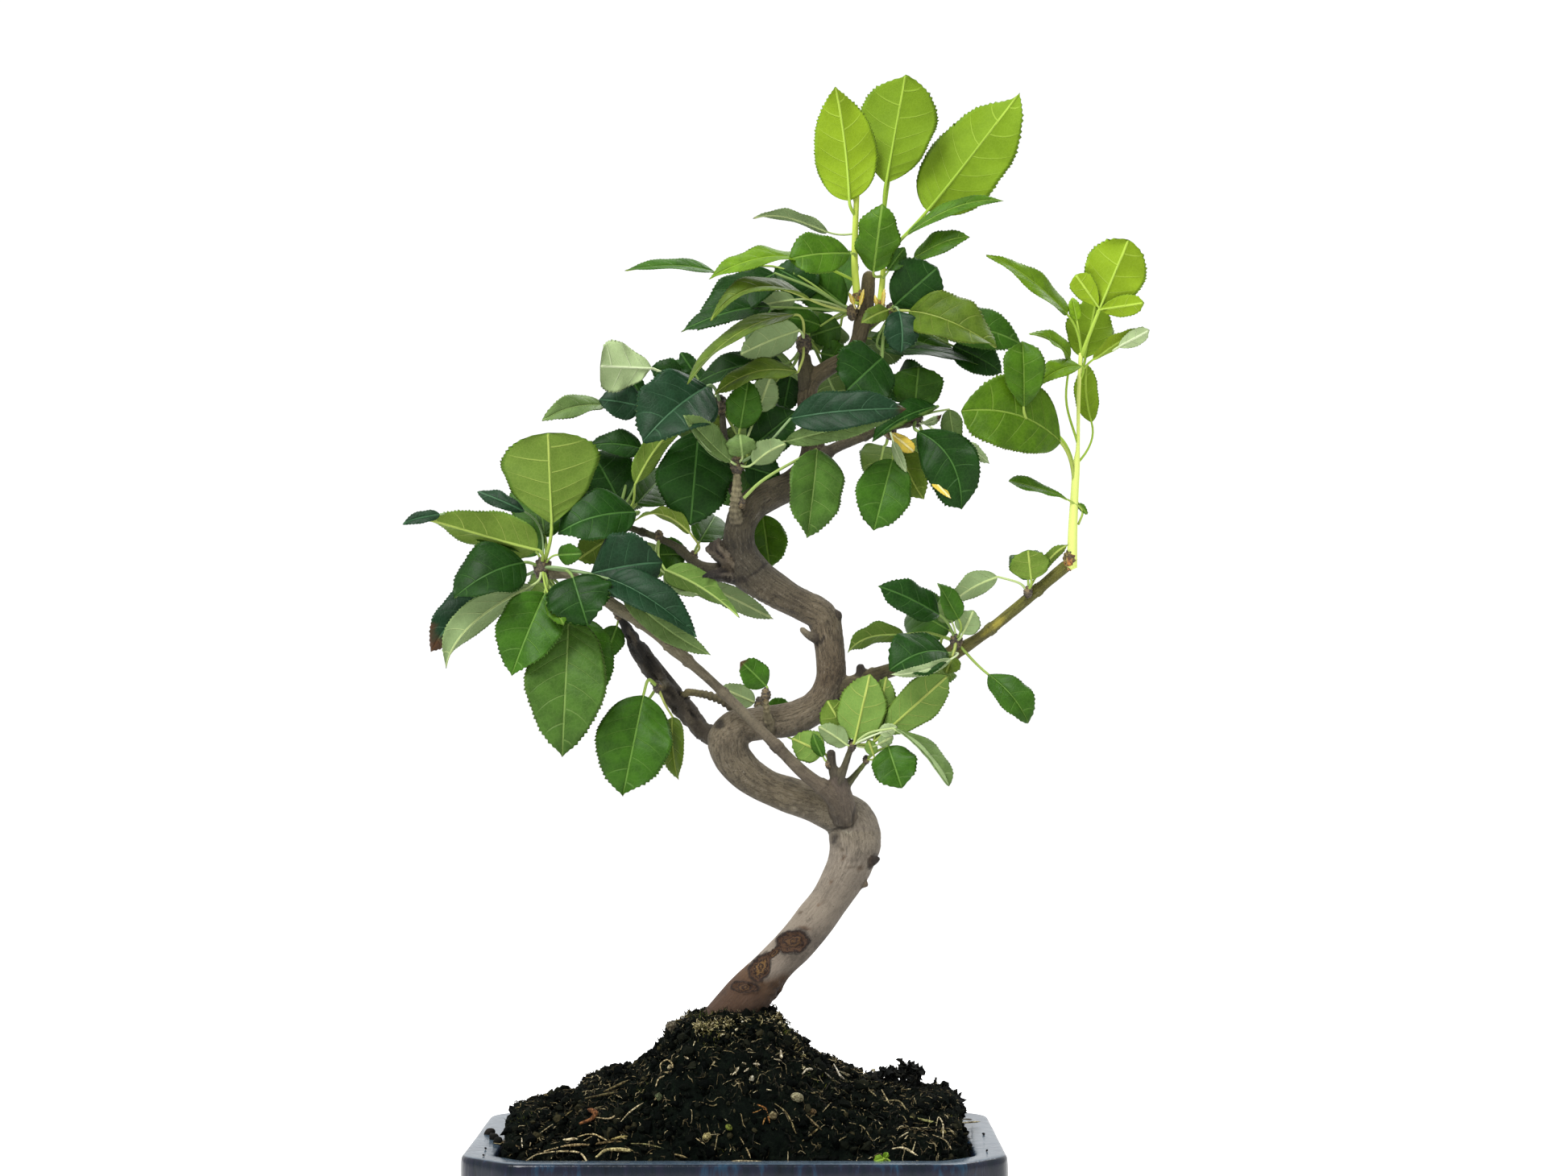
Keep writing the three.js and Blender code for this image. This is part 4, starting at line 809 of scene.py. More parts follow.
# Where each point of the skin lies on its limb: the nearest path, how far along, and the offset.
line = np.concatenate(list(limbs.values()))
limb_number = np.concatenate([np.full(len(path), k) for k, path in enumerate(limbs.values())])
line_share = np.concatenate([np.linspace(0, 1, len(path)) for path in limbs.values()])
line_mm = np.concatenate([np.arange(len(path)) * LIMB_STEP for path in limbs.values()])
nearest = np.empty(count, int)
for k in range(0, count, SKIN_BLOCK):
    block = skin[k : k + SKIN_BLOCK]
    apart = np.linalg.norm(block[:, None] - line[None, :, :3], axis=2) - line[None, :, 3]
    nearest[k : k + SKIN_BLOCK] = apart.argmin(1)
offset = skin - line[nearest, :3]
number = limb_number[nearest]
along_mm = line_mm[nearest]

u, v = sighted(skin)
facing = np.clip(-out[:, 1] * 2, 0, 1)


def on_limbs(*wanted):
    """Whether each point of the skin lies on one of the wanted limbs."""
    return np.isin(number, [list(limbs).index(name) for name in wanted])


def oval(middle_u, middle_v, half_long, half_wide, tilt):
    """0 at the middle of an ellipse and 1 at its ragged edge: sqrt(a^2 / long^2 + b^2 / wide^2)."""
    turn = math.radians(tilt)
    a = (u - middle_u) * math.cos(turn) + (v - middle_v) * math.sin(turn)
    b = (v - middle_v) * math.cos(turn) - (u - middle_u) * math.sin(turn)
    return np.sqrt((a / half_long) ** 2 + (b / half_wide) ** 2) + 0.2 * clouds(skin, 2, 5)


def patch(*place, edge=0.4):
    """1 inside an oval on the side that faces the front and 0 outside, with a soft edge."""
    return np.clip((1 + edge - oval(*place)) / (2 * edge), 0, 1) * np.clip(3 * facing, 0, 1)


def blend(colours, share, paints):
    """Colours moved a share of the way to another paint."""
    return colours + share[:, None] * (np.array(paints) - colours)


# The bark's paints along each limb. Low on the trunk a rust-brown stain ends at an uneven height.
heights = np.array(list(TRUNK_BARK))
trunk_paints = np.array([paint(code) for code in TRUNK_BARK.values()])
stain_edge = np.interp(u, (0, 6, 11, 20), (131, 127, 121.5, 124)) + 1.2 * clouds(skin, 3, 4)
level = v + 2 * clouds(skin, 7, 3) - 1.2 * np.clip(u - 38, 0, 8) * (v > 180)
level = np.where(v < 140, v - stain_edge + 121.5, level)
bark_colour = np.stack([np.interp(level, heights, trunk_paints[:, k]) for k in range(4)], 1)
for k, (codes, *_) in enumerate(BRANCHES.values(), 1):
    foot, end = (np.array(paint(code)) for code in codes.split())
    own = number == k
    share = np.clip(line_share[nearest[own]] * 1.2 + 0.15 * clouds(skin[own], 8, k), 0, 1)[:, None]
    bark_colour[own] = foot + share * (end - foot)

# Wounds, knots and wrinkles: each sinks or lifts the skin and stains it. A scar is (u, v, half its
# length, half its width, tilt, how golden its heartwood shows), and a mark ends with its paint.
lift = np.zeros(count)
SCARS = [
    (22.4, 136.6, 6.3, 4.2, 12, 0.3), (9.3, 126.6, 5.8, 3.5, 62, 1),
    (14.6, 132.4, 3.4, 1.3, 42, 0.6), (3.3, 118.8, 4.8, 1.9, -4, 0.35),
]
wound = np.full(count, -1.0)
heartwood = np.zeros(count)
for *place, golden_share in SCARS:
    inside = np.where(facing > 0, 1 - oval(*place), -1)
    wound = np.maximum(wound, inside)
    heartwood = np.maximum(heartwood, golden_share * np.clip(4 * inside + 0.5, 0, 1))
lift += 0.7 * np.exp(-(((wound + 0.05) / 0.14) ** 2)) - 0.8 * np.clip(4 * wound, 0, 1)
lift += np.clip(4 * wound, 0, 1) * (0.4 * np.clip(3 * wound - 1, 0, 1) + 0.8 * clouds(skin, 1.3, 31))
crust = np.exp(-(((u - 17) / 3.5) ** 2 + ((v - 114) / 6) ** 2))
lift += crust * (0.4 + 1.6 * clouds(skin, 1.6, 32))
crusted = np.clip(crust * (0.6 + 2 * clouds(skin, 1.2, 33)), 0, 0.9)
bark_colour = blend(bark_colour, crusted, paint("241710"))
MARKS = [
    (26.8, 141.8, 2.6, 0.7, -14, "4e3826"),
    (38.6, 177.6, 1.8, 1.2, 30, "3a3024"),
    (40.5, 181, 3.6, 0.7, 8, "3f3628"),
    (43.5, 179.6, 2.2, 0.5, -20, "b3ab96"),
    (48.6, 165.4, 1.5, 1, 30, "6a5a48"),
    (45, 166, 2.4, 0.35, 0, "6f6252"),
    (41.5, 172.6, 1, 0.8, 0, "6c6050"),
    (33.5, 152, 1.2, 0.8, 50, "74685a"),
    (32, 151, 0.8, 0.5, 40, "6b5643"),
    (25, 148, 0.9, 0.4, 30, "5d4c3c"),
    (37, 160, 0.9, 0.5, 50, "6b5643"),
    (42, 169.5, 1.1, 0.5, 60, "6b5643"),
    (38, 175.5, 0.9, 0.7, 20, "2c231b"),
    (46, 186, 4.4, 0.6, 80, "33291f"),
    (33.5, 255, 2.2, 0.5, 60, "2e251b"),
    (31.5, 253.5, 1.8, 0.4, 55, "2e251b"),
    (2, 279, 2.6, 1.4, 10, "3a3026"),
    (10.5, 284.5, 3, 0.6, 40, "2e271f"),
    (6.5, 281.5, 2.4, 0.5, 30, "2e271f"),
    (-7, 222, 2.2, 1.7, 30, "241d16"),
    (54.6, 168.7, 2, 2, 0, "2b2018"),
    (103, 262, 3.2, 1.2, 40, "b5a83f"),
    (98, 258, 2.2, 0.9, 40, "a39a3c"),
]
for *place, code in MARKS:
    mark = patch(*place)
    bark_colour = blend(bark_colour, mark * 0.85, paint(code))
    lift -= 0.35 * mark
on_trunk = on_limbs("trunk")
old = np.interp(v, (150, 195, 300, 380), (0.15, 1, 1, 0.5)) * on_trunk
swell = np.where(on_trunk, 0.55, 0.14) * clouds(skin, 11, 61)
grooved = clouds(np.stack([offset[:, 0], offset[:, 2], 0.16 * along_mm], 1), 1.7, 71)
lift += swell + 0.3 * old * grooved
wrinkle = np.exp(-(((u - 12) / 7) ** 2 + ((v - 274) / 5) ** 2))
lift += 0.3 * wrinkle * np.sin(along_mm * 2.2 + 1.5 * clouds(skin, 4, 81))
ringed = on_limbs("trunk_spur", "ringed_spur", "loop_spur", "dark_spur")
rings = np.sin(2 * np.pi * along_mm / 2.1 + clouds(skin, 3, 82))
lift += np.where(ringed, 0.28 * rings, 0)
bark_colour[ringed] = blend(bark_colour[ringed], 0.35 * (rings[ringed] < -0.2), paint("3f3728"))
ragged = np.clip(np.where(on_limbs("dark"), 0.45, 0.8) + clouds(skin, 3.2, 91), 0, 1)
ragged = ragged * on_limbs("dark", "knuckle", "claw", "heel")
splinters = clouds(np.stack([offset[:, 0], offset[:, 2], 0.2 * along_mm], 1), 1.3, 92)
lift += ragged * (1.7 * splinters + 0.6 * clouds(skin, 1.5, 94) - 0.6)
bark_colour = blend(bark_colour, 0.8 * ragged * np.clip(2.5 * splinters, 0, 1), paint("6f6554"))
bark_colour = blend(bark_colour, 0.85 * ragged * np.clip(-3 * splinters - 0.2, 0, 1), paint("15110d"))
from_node = np.abs(np.mod(along_mm, NODE_PITCH) - 0.5 * NODE_PITCH)
noded = on_limbs("front", "right", "left", "middle")
lift += np.where(noded, 0.55 * np.exp(-((from_node / 1.2) ** 2)), 0)
skin = skin + out * lift[:, None]
wood_mesh.vertices.foreach_set("co", in_frame(skin).astype(np.float32).ravel())
wood_mesh.polygons.foreach_set("use_smooth", np.ones(len(wood_mesh.polygons), bool))
# Painted light: the bark is darkened on its downward faces and lightened on its upward ones, as the lamp
# above would light it.
bark_colour[:, :3] *= np.interp(out[:, 2], (-0.9, 0.1, 0.9), (0.62, 1.02, 1.26))[:, None]
store(wood_mesh, "bark_colour", np.clip(bark_colour, 0, 1))
store(wood_mesh, "grain", np.stack([offset[:, 0], offset[:, 1] + offset[:, 2], along_mm], 1))
store(wood_mesh, "age", np.clip(old + 0.4 * ~on_trunk, 0, 1))
store(wood_mesh, "wound", np.stack([wound, heartwood, np.zeros(count)], 1))

bark = Finish("bark", Roughness=0.78, Specular_IOR_Level=0.35)
grain = bark.stored("grain")
strand = bark.noise(bark.stretched(grain, (1, 1, 0.24)), 1.25, 6, 0.75, 0.9)
mottle = bark.noise(bark.place(), 0.0032, 5, 0.7)
pore = bark.cells(bark.stretched(grain, (1, 1, 1.7)), 2.1)
age = bark.stored("age", 2)
base = bark.stored("bark_colour", 0)
dark = bark.mix(1, base, paint("7b736b"), "MULTIPLY")
pale = bark.mix(1, base, paint("ffffff"), "SOFT_LIGHT")
furrow = bark.noise(bark.stretched(grain, (1, 1, 0.13)), 0.85, 5, 0.75, 0.6)
colour = bark.mix(strand.step(0.4, 0.62), dark, pale)
colour = bark.mix(mottle.step(0.52, 0.68) * 0.5, base, colour)
# Painted shade and highlight: the furrows are darkened in their grooves and paled on their ridges, as the
# lamps would light the bark's relief.
painted_groove_shade = bark.mix(1, dark, paint("5a5048"), "MULTIPLY")
colour = bark.mix(furrow.step(0.54, 0.36) * (age * 0.5 + 0.16), colour, painted_groove_shade)
colour = bark.mix(furrow.step(0.54, 0.68) * age * 0.6, colour, bark.mix(0.28, base, paint("d8d2c4")))
colour = bark.mix(pore.step(0.15, 0.08) * (1 - age * 0.7) * 0.5, colour, dark)
splinter = bark.noise(bark.place(), 0.0012, 5, 0.75, 0.4)
colour = bark.mix(splinter.step(0.56, 0.7) * 0.4, colour, dark)
patchy = bark.noise(bark.place(), 0.011, 3, 0.6)
colour = bark.mix(patchy.step(0.5, 0.7) * 0.5, colour, dark)
within, golden_heart, _ = bark.axes(bark.stored("wound"))
within = within + (splinter - 0.5) * 0.5
callus_rings = (within * 16 + splinter * 9).math("SINE").step(-0.5, 0.8)
rotten = bark.mix(callus_rings, paint("2c1a10"), paint("553a24"))
rotten = bark.mix(callus_rings * golden_heart * within.step(0.2, 0.45), rotten, paint("7d5c30"))
rusty = bark.mix(1, dark, paint("8a6f5c"), "MULTIPLY")
colour = bark.mix(within.step(-0.28, -0.1) * 0.55, colour, rusty)
colour = bark.mix(within.step(-0.06, 0.02), colour, rotten)
bark.set(Base_Color=colour)
grooves = (strand + furrow) * (age * 0.6 + 0.3)
bark.relief(grooves + mottle * 0.4 + splinter * within.step(-0.1, 0.1), 0.0014)
wood_mesh.materials.clear()
wood_mesh.materials.append(bark.material)
fixed(wood, "bark", "trunk")

# The leaves. Each spray is the cluster of leaves that springs from one bud: a swollen spur of wood
# or a green shoot, petioles, and finely toothed blades, dark above and paler with raised veins below.

# Paints of each kind of leaf: its top, its underside, and its veins seen from above and below.
TONES = {
    "deep": "173c08 466022 4c7636 94a862",
    "blue": "17361e 5c7646 4a7250 9aae78",
    "leaf": "345c10 557026 6a903e a2b45c",
    "spring": "42690c 5f782a 7d9f40 a6b65a",
    "mid": "436522 607e38 7f9a52 a4b866",
    "olive": "4f6618 687e2c 8f9e4a b4bd6c",
    "downy": "5f7840 849a68 90a866 bccb8c",
    "lime": "5f820e 6d8a19 88aa36 9cb844",
    "sun": "769a14 7c9719 9fbf4c abc64c",
    "gold": "bfa02a d2b845 d8ca78 e8dc9c",
    "felt": "90a374 9db07e bccb9c ccd8ae",
    "fresh": "486b08 6e8e40 86a042 b2be62",
}
# The green stem of each young shoot: its paint and its places (u, v, d, radius).
STEMS = {
    "crown_shoot_left": [
        "b4c652",
        (47.8, 389, -4.5, 1.6), (46.6, 404, -5.5, 1.35), (46.8, 418, -6, 1.2),
        (47.5, 433.5, -6.5, 1.05),
    ],
    "crown_shoot_right": [
        "b4c652",
        (56.3, 386, -2.5, 1.4), (57.6, 398, -3, 1.15), (58.2, 412, -3.5, 0.8), (58.5, 427, -3.5, 0.6),
    ],
    "right_shoot": [
        "d5e27c",
        (132.3, 284, -14, 2.1), (132.8, 300, -13, 1.8), (133.6, 314, -12, 1.55),
        (134.3, 325, -11.5, 1.4), (134.9, 331, -11, 0.8), (135.3, 351, -10, 0.75),
        (136.2, 369, -9, 0.8),
    ],
}
YOUNG = (*STEMS, "fork_spray")
# Each spray has the hub of its spur, [u, v, d, radius], and then its leaves: base u, v, d, tip u, v, d,
# width, roll, arch, fold and tone, and by name what is its own. The petiole starts at root and passes
# by, the blade is widest at broad, drawn out by point, bent sideways by sweep and turned by twist, a
# cuff is its side, start and angle, and burn is the share of dead tip.
SPRAYS = {
    "left_spray": [
        [-77, 282.3, -8.5, 3.8],
        [-73.5, 301, -12, -75, 337.5, -10, 39, 180, 0.05, 8, "spring", {"broad": 0.7, "point": 0.25}],
        [-79, 291, -14, -125, 303.5, -26, 22, 142, 0.06, 36, "spring",
         {"broad": 0.3, "sweep": 0.06, "twist": 0}],
        [-117.5, 305, -28.5, -132.5, 301, -29, 5.5, 30, 0.05, 10, "blue",
         {"root": [-116, 305.4, -27.5], "twist": 0}],
        [-84, 306, 0, -103, 314, 4, 7.5, 25, 0.05, 0, "blue", {"broad": 0.6}],
        [-81, 291, -4, -107, 297, -8, 11, 40, 0.08, 10, "leaf"],
        [-84, 286, -13, -112, 271.5, -24, 25, 25, 0.16, 12, "deep", {"broad": 0.5}],
        [-98, 277, 2, -121, 250.5, -2, 16, 20, 0.1, 5, "blue", {"by": [[-86, 280, -1]], "burn": 0.22}],
        [-80, 277.5, -14, -115, 244, -30, 16, 150, 0.17, 38, "downy", {"broad": 0.55}],
        [-76, 274, -17, -89, 241, -25, 25, 8, 0.06, 6, "leaf"],
        [-74, 272, -5, -82, 247, -8, 15, 0, 0.05, 5, "deep"],
        [-66.5, 264, -15, -69, 209, -22, 31, 0, 0.06, 8, "mid",
         {"by": [[-75, 277, -14], [-69, 271, -15]]}],
        [-62, 263, -2, -52, 235.5, -4, 18, 8, 0.05, 5, "leaf", {"by": [[-75, 275, -4], [-67, 271, -2]]}],
        [-65, 280, -19, -59, 261, -26, 26, 0, 0.1, 0, "deep"],
        [-58, 281.5, -14, -29.5, 286, -17, 27, -15, 0.06, 6, "blue",
         {"broad": 0.5, "by": [[-72, 284, -15]]}],
        [-51, 279.5, -19, -15.8, 256.5, -29, 19, -35, 0.1, 25, "blue",
         {"broad": 0.36, "by": [[-62, 282, -17]]}],
        [-46, 276.3, -14, -10.3, 249.2, -20, 10, 0, 0.03, 4, "downy",
         {"sweep": 0.05, "root": [-55, 280, -14], "twist": 0}],
        [-74, 272, -23, -68.5, 261, -29, 7.5, 0, 0.05, 0, "spring"],
        [-71, 289, -15, -61, 289.5, -18, 8, 0, 0.05, 0, "leaf"],
        [-78, 290, 6, -92, 301, 42, 22, 0, 0.08, 5, "leaf"],
        [-72, 276, 6, -84, 262, 42, 22, 180, 0.1, 5, "leaf"],
        [-68, 274, 8, -62, 254, 40, 20, 180, 0.1, 5, "deep"],
        [-76, 296, 10, -80, 320, 40, 24, 0, 0.08, 5, "leaf"],
    ],
    "twig_end_leaf": [
        [-46.6, 265.6, 8, 2.8],
        [-47.5, 261, 12, -52, 248, 14, 10, 0, 0.05, 0, "leaf"],
        [-43, 268, 9, -38.5, 276, 10, 5, 180, 0.05, 10, "downy"],
    ],
    "mid_left_spray": [
        [-47.8, 301.3, 7, 2.1],
        [-40, 306, -1, -71, 297, -8, 23, 28, 0.12, 6, "deep", {"broad": 0.5}],
        [-46, 309, 9, -58, 330, 12, 24, 10, 0.04, 0, "deep", {"broad": 0.5}],
        [-52, 305, 13, -67, 317, 15, 17, 0, 0.05, 0, "deep"],
        [-40.5, 317, -4, -20.5, 343, -10, 12, -145, 0.1, 20, "spring", {"by": [[-41.5, 309, 2]]}],
        [-49, 297, 0, -63, 287, -4, 14, 180, 0.1, 0, "spring"],
        [-37.5, 331, 7, -59, 332, 4, 13, 35, 0.1, 5, "deep", {"by": [[-40, 318, 9]]}],
        [-44, 318, 14, -56, 304, 48, 24, 180, 0.1, 5, "deep"],
        [-40, 309, 14, -30, 320, 46, 20, 0, 0.08, 5, "leaf"],
    ],
    "arching_spray": [
        [-17.5, 287.4, 8.5, 2.2],
        [-18.5, 297.5, 2, -41, 302, -6, 11, 115, 0.2, 15, "olive", {"by": [[-15, 292, 5]]}],
        [-13, 277.5, 17, 14.5, 263.5, 21, 9, 180, 0.1, 0, "downy"],
        [-20, 289, 12, -33, 289, 13, 13, 10, 0.05, 0, "leaf"],
        [-15, 294, 18, -9, 304, 46, 16, 0, 0.08, 5, "leaf"],
    ],
    "hanging_olive_spray": [
        [-31, 295.6, 8, 2.1],
        [-28.5, 283, -2, 1, 264, -9, 13, -145, 0.1, 18, "mid", {"broad": 0.3, "by": [[-31, 288, 3]]}],
        [-29, 282, 4, -15, 273, 2, 9, 180, 0.05, 0, "downy"],
        [-31, 292, 21, -38, 278, 48, 18, 180, 0.1, 5, "leaf"],
    ],
    "lower_left_spray": [
        [-31.4, 236.1, -3.8, 2],
        [-37, 233.5, -9, -45, 193.5, -15, 29, 0, 0.06, 5, "leaf",
         {"broad": 0.46, "by": [[-35, 239.5, -8]]}],
        [-25.5, 225, -2, -23, 200, -4, 12, 35, 0.05, 10, "olive", {"by": [[-28.5, 230, -4]]}],
        [-37, 228, 10, -42, 210, 38, 18, 180, 0.1, 5, "leaf"],
    ],
    "spur_spray": [
        [0, 323.5, -10, 3],
        [1, 339, -12, 4.5, 358.5, -11, 14, 0, 0.02, 8, "leaf"],
        [8, 346, -8, 13.5, 360.5, -6, 12, 180, 0.02, 5, "downy"],
        [2, 328, -15, 1, 337, -19, 12, 0, 0.2, -20, "downy", {"broad": 0.5}],
        [-2.5, 326, -16, -21.5, 344.5, -31, 13, 30, -0.06, 18, "downy", {"cuff": [-1, 0.7, 150]}],
        [6, 325, -15, 19.5, 333, -19, 11, -150, 0.1, 12, "downy"],
        [5, 331, -5, 23.5, 346, -7, 20, -15, 0.03, 0, "deep", {"broad": 0.5}],
        [21, 343, -18, 67, 347, -26, 17, -25, 0.07, 6, "blue",
         {"by": [[10, 331, -13]], "burn": 0.09, "twist": 0}],
        [19, 334, -13, 63, 344.5, -19, 9, 0, 0.03, 0, "downy", {"root": [8, 330, -13], "twist": 0}],
        [3, 324, 0, 17, 320, 4, 15, 0, 0.05, 0, "deep"],
    ],
    "drooping_leaf": [
        [1.5, 309.5, -9, 2.2],
        [31.5, 331, -14, 27.5, 295.5, -15, 24, -24, 0.03, 22, "mid",
         {"by": [[10, 318.5, -14]], "twist": 0}],
    ],
    "dark_spray": [
        [-6.5, 347.5, 7, 3],
        [-12, 356, -6, -37.5, 333.5, -24, 31, 18, 0.1, 0, "blue", {"broad": 0.48}],
        [-15.5, 338, 3, -18.5, 300.5, 1, 29, 0, 0.03, 0, "deep", {"broad": 0.5}],
        [-9, 345, 9, -12, 333.5, 9, 10, 180, 0.03, 0, "olive"],
        [-38, 348, 3, -55, 350.5, 4, 15, 20, 0.04, 0, "blue", {"by": [[-22, 350, 6]]}],
        [-53, 348.5, 8, -77.5, 342, 0, 11, 35, 0.1, 14, "downy", {"by": [[-30, 352, 10]]}],
        [-33.5, 363, -2, -54.5, 364, -9, 21, 180, 0.04, 12, "felt",
         {"broad": 0.72, "point": 0.15, "by": [[-20, 357, 2]]}],
        [-22, 360.5, 9, -34.5, 363, 9, 11, 0, 0.04, 0, "deep", {"by": [[-14, 355, 8]]}],
        [-17, 361, 12, -22.5, 369.5, 13, 7, 0, 0.05, 0, "deep"],
        [-38, 352, 9, -43.5, 361.5, 10, 7, 0, 0.05, 0, "deep", {"by": [[-22, 351, 9]]}],
        [-8, 342, 15, -20, 328, 50, 26, 180, 0.1, 5, "deep"],
        [-2, 340, 14, 7, 322, 46, 24, 180, 0.1, 5, "leaf"],
        [-10, 352, 17, -28, 358, 50, 22, 0, 0.08, 5, "deep"],
    ],
    "upper_left_spray": [
        [26.4, 371.6, 3.3, 3.5],
        [23, 384.5, -6, -20, 356.5, -28, 14, 58, 0.12, 10, "olive", {"broad": 0.6}],
        [24.5, 378.5, -2, 1, 368.5, -7, 16, 150, 0.05, 6, "downy", {"by": [[26, 376.5, -0.5]]}],
        [18, 365, 8, -19.5, 354.5, 7, 15, 35, 0.14, 4, "deep"],
        [24, 361.5, -8, -9.5, 352, -15, 13, 50, 0.16, 6, "olive", {"by": [[26, 367, -4]]}],
        [21, 360, 8, 18, 345, 10, 11, 0, 0.03, 0, "deep"],
        [33, 369, 11, 45, 367, 13, 12, 0, 0.05, 0, "leaf", {"by": [[26.8, 376, 6.2]]}],
        [22, 364, 16, 8, 350, 50, 24, 180, 0.1, 5, "leaf"],
        [34, 364, 16, 42, 346, 50, 24, 180, 0.1, 5, "deep", {"by": [[28, 376, 9]]}],
        [20, 376, 14, 4, 383, 48, 22, 0, 0.08, 5, "leaf"],
    ],
    "crown_left_spray": [
        [45.5, 384.5, -1.5, 2.6],
        [29, 390.5, -7, -11, 382, -22, 14, 62, 0.18, 12, "olive"],
        [13, 387.5, -1, -22.5, 377.5, -10, 12, 42, 0.1, 8, "deep", {"by": [[30, 387, -1]]}],
        [23, 390.5, 5, 6, 387.5, 6, 9, 150, 0.03, 0, "downy"],
        [33, 380, 9, 10, 382.5, 9, 13, 35, 0.14, 0, "leaf", {"by": [[41, 385, 4]]}],
        [15, 401, 5, -16, 378, 0, 18, 25, 0.12, 6, "deep", {"by": [[30, 395, 4]]}],
        [32, 394, 8, 14.5, 403.5, 12, 17, 10, 0.05, 0, "deep"],
        [-9, 401.5, 8, -45, 402, 0, 10, 62, 0.08, 18, "leaf", {"by": [[16, 403.5, 11]]}],
        [43, 388, 10, 24, 403, 15, 20, 0, 0.05, 0, "leaf", {"broad": 0.5}],
        [41, 380, 9, 29, 376, 14, 14, 0, 0.05, 0, "leaf", {"by": [[42, 384, 3]]}],
        [44, 393, 14, 34, 406, 46, 22, 0, 0.08, 5, "leaf"],
        [38, 382, 16, 26, 370, 46, 20, 180, 0.1, 5, "leaf"],
    ],
    "crown_shoot_left": [
        [48, 391, -4.5, 2.4],
        [44.5, 430, -9, 39, 476, -16, 25, 180, 0.04, 10, "sun", {"root": [47, 424, -6], "sweep": -0.02}],
        [30, 405.5, -9, -11.5, 398.5, -24, 15, 64, 0.13, 10, "lime", {"root": [46.7, 398, -5.5]}],
        [46.2, 388.5, -8, 44.6, 393, -9, 1.7, 0, 0, 0, "gold", {"root": [47, 387, -5]}],
        [48.6, 388, -8, 50.2, 394.8, -8.5, 1.5, 0, 0, 0, "gold", {"root": [48, 387, -5]}],
        [45, 409, -11, 20.5, 406.5, -19, 18, 24, 0.06, 6, "spring",
         {"root": [46.7, 408, -6], "broad": 0.6}],
        [36, 417.5, -6, 6, 422.8, -14, 8.5, 125, 0.06, 20, "downy",
         {"root": [46.8, 417, -6], "burn": 0.06}],
        [44, 440, 0, 40, 462, 18, 12, 0, 0.06, 5, "sun", {"root": [47.3, 428, -6]}],
    ],
    "crown_shoot_right": [
        [56.5, 387.5, -2.5, 2.2],
        [59, 437, -5, 67, 480.8, -1, 31, 180, 0.02, 8, "lime", {"root": [58.5, 426, -3.5], "broad": 0.6}],
        [75.5, 426, 1, 112.5, 473.5, 10, 31, 172, 0.05, 8, "lime", {"root": [58.2, 408, -3]}],
        [55.4, 388, -6, 54.6, 392.4, -6.5, 1.4, 0, 0, 0, "gold", {"root": [56, 386, -3]}],
        [57.6, 388, -6, 58.4, 395, -6.5, 1.5, 0, 0, 0, "gold", {"root": [57, 386, -3]}],
        [54, 401.5, -9, 57.5, 429, -17, 17, 0, 0.12, -22, "spring",
         {"root": [57.6, 400, -3], "broad": 0.5}],
        [67.5, 416.5, -8, 106, 430, -6, 8, -50, 0.1, 14, "spring",
         {"root": [58.1, 407, -3], "twist": -20}],
        [70, 407, -3, 92.5, 415.5, -8, 12, -45, 0.05, 14, "spring", {"root": [57.8, 402, -3]}],
        [60, 402, -8, 66.5, 411.5, -10, 8, -20, 0.02, 0, "leaf", {"root": [57.7, 399, -3]}],
        [62, 448, 4, 66, 468, 22, 14, 0, 0.06, 5, "lime", {"root": [58.4, 425, -3]}],
    ],
    "crown_right_spray": [
        [61.2, 384.7, 1, 2.9],
        [62, 388, -3, 79.5, 403.5, -8, 22, 0, 0.08, 0, "deep", {"broad": 0.55}],
        [68, 386, -9, 103, 371, -19, 23, -30, 0.14, 8, "olive", {"broad": 0.45}],
        [73, 381, 5, 113, 372.5, 6, 20, -40, 0.08, 4, "leaf"],
        [64, 386, -10, 65, 369, -15, 14, 0, 0.1, 10, "blue", {"sweep": -0.05, "broad": 0.5}],
        [60, 386.5, -9, 49, 381, -14, 7.5, 20, 0.1, 0, "olive"],
        [58, 370.5, 5, 97, 363.5, 8, 13, -68, 0.05, 4, "deep"],
        [85.5, 372, 10, 105, 361, 12, 15, -20, 0.08, 0, "deep"],
        [53, 375, 10, 88, 368, 14, 13, -40, 0.1, 5, "leaf"],
        [57.5, 367.5, -7, 43, 354, -14, 27, 0, 0.08, 4, "deep", {"broad": 0.45, "by": [[58, 376, -7]]}],
        [64, 390, 12, 74, 399, 46, 22, 0, 0.08, 5, "deep"],
        [68, 381, 18, 84, 372, 46, 22, 180, 0.1, 5, "leaf"],
        [58, 377, 18, 56, 362, 50, 22, 180, 0.1, 5, "deep"],
    ],
    "middle_spray": [
        [71, 342.3, -3, 2.9],
        [70, 345, 2, 72, 364, 4, 21, 0, 0.05, 0, "leaf", {"broad": 0.6}],
        [79, 348, -1, 53.3, 333.6, -9, 14, 35, 0.1, 10, "deep", {"cuff": [-1, 0.62, 150], "twist": 0}],
        [71.3, 338.2, -9, 88.8, 306.9, -15, 22.5, 12, 0.08, 10, "deep", {"broad": 0.56, "sweep": -0.18}],
        [84.5, 333, -11, 99.9, 325, -14, 6.4, -30, 0.1, 12, "felt",
         {"by": [[78, 338.6, -7]], "sweep": -0.05}],
        [84, 346.8, 3, 86.5, 331.5, 3, 8.5, 0, 0.03, 0, "downy", {"by": [[77, 345.5, 1]]}],
        [73.5, 341, -6, 81, 344.8, -6, 3.6, 30, 0.1, 10, "felt", {"burn": 0.3}],
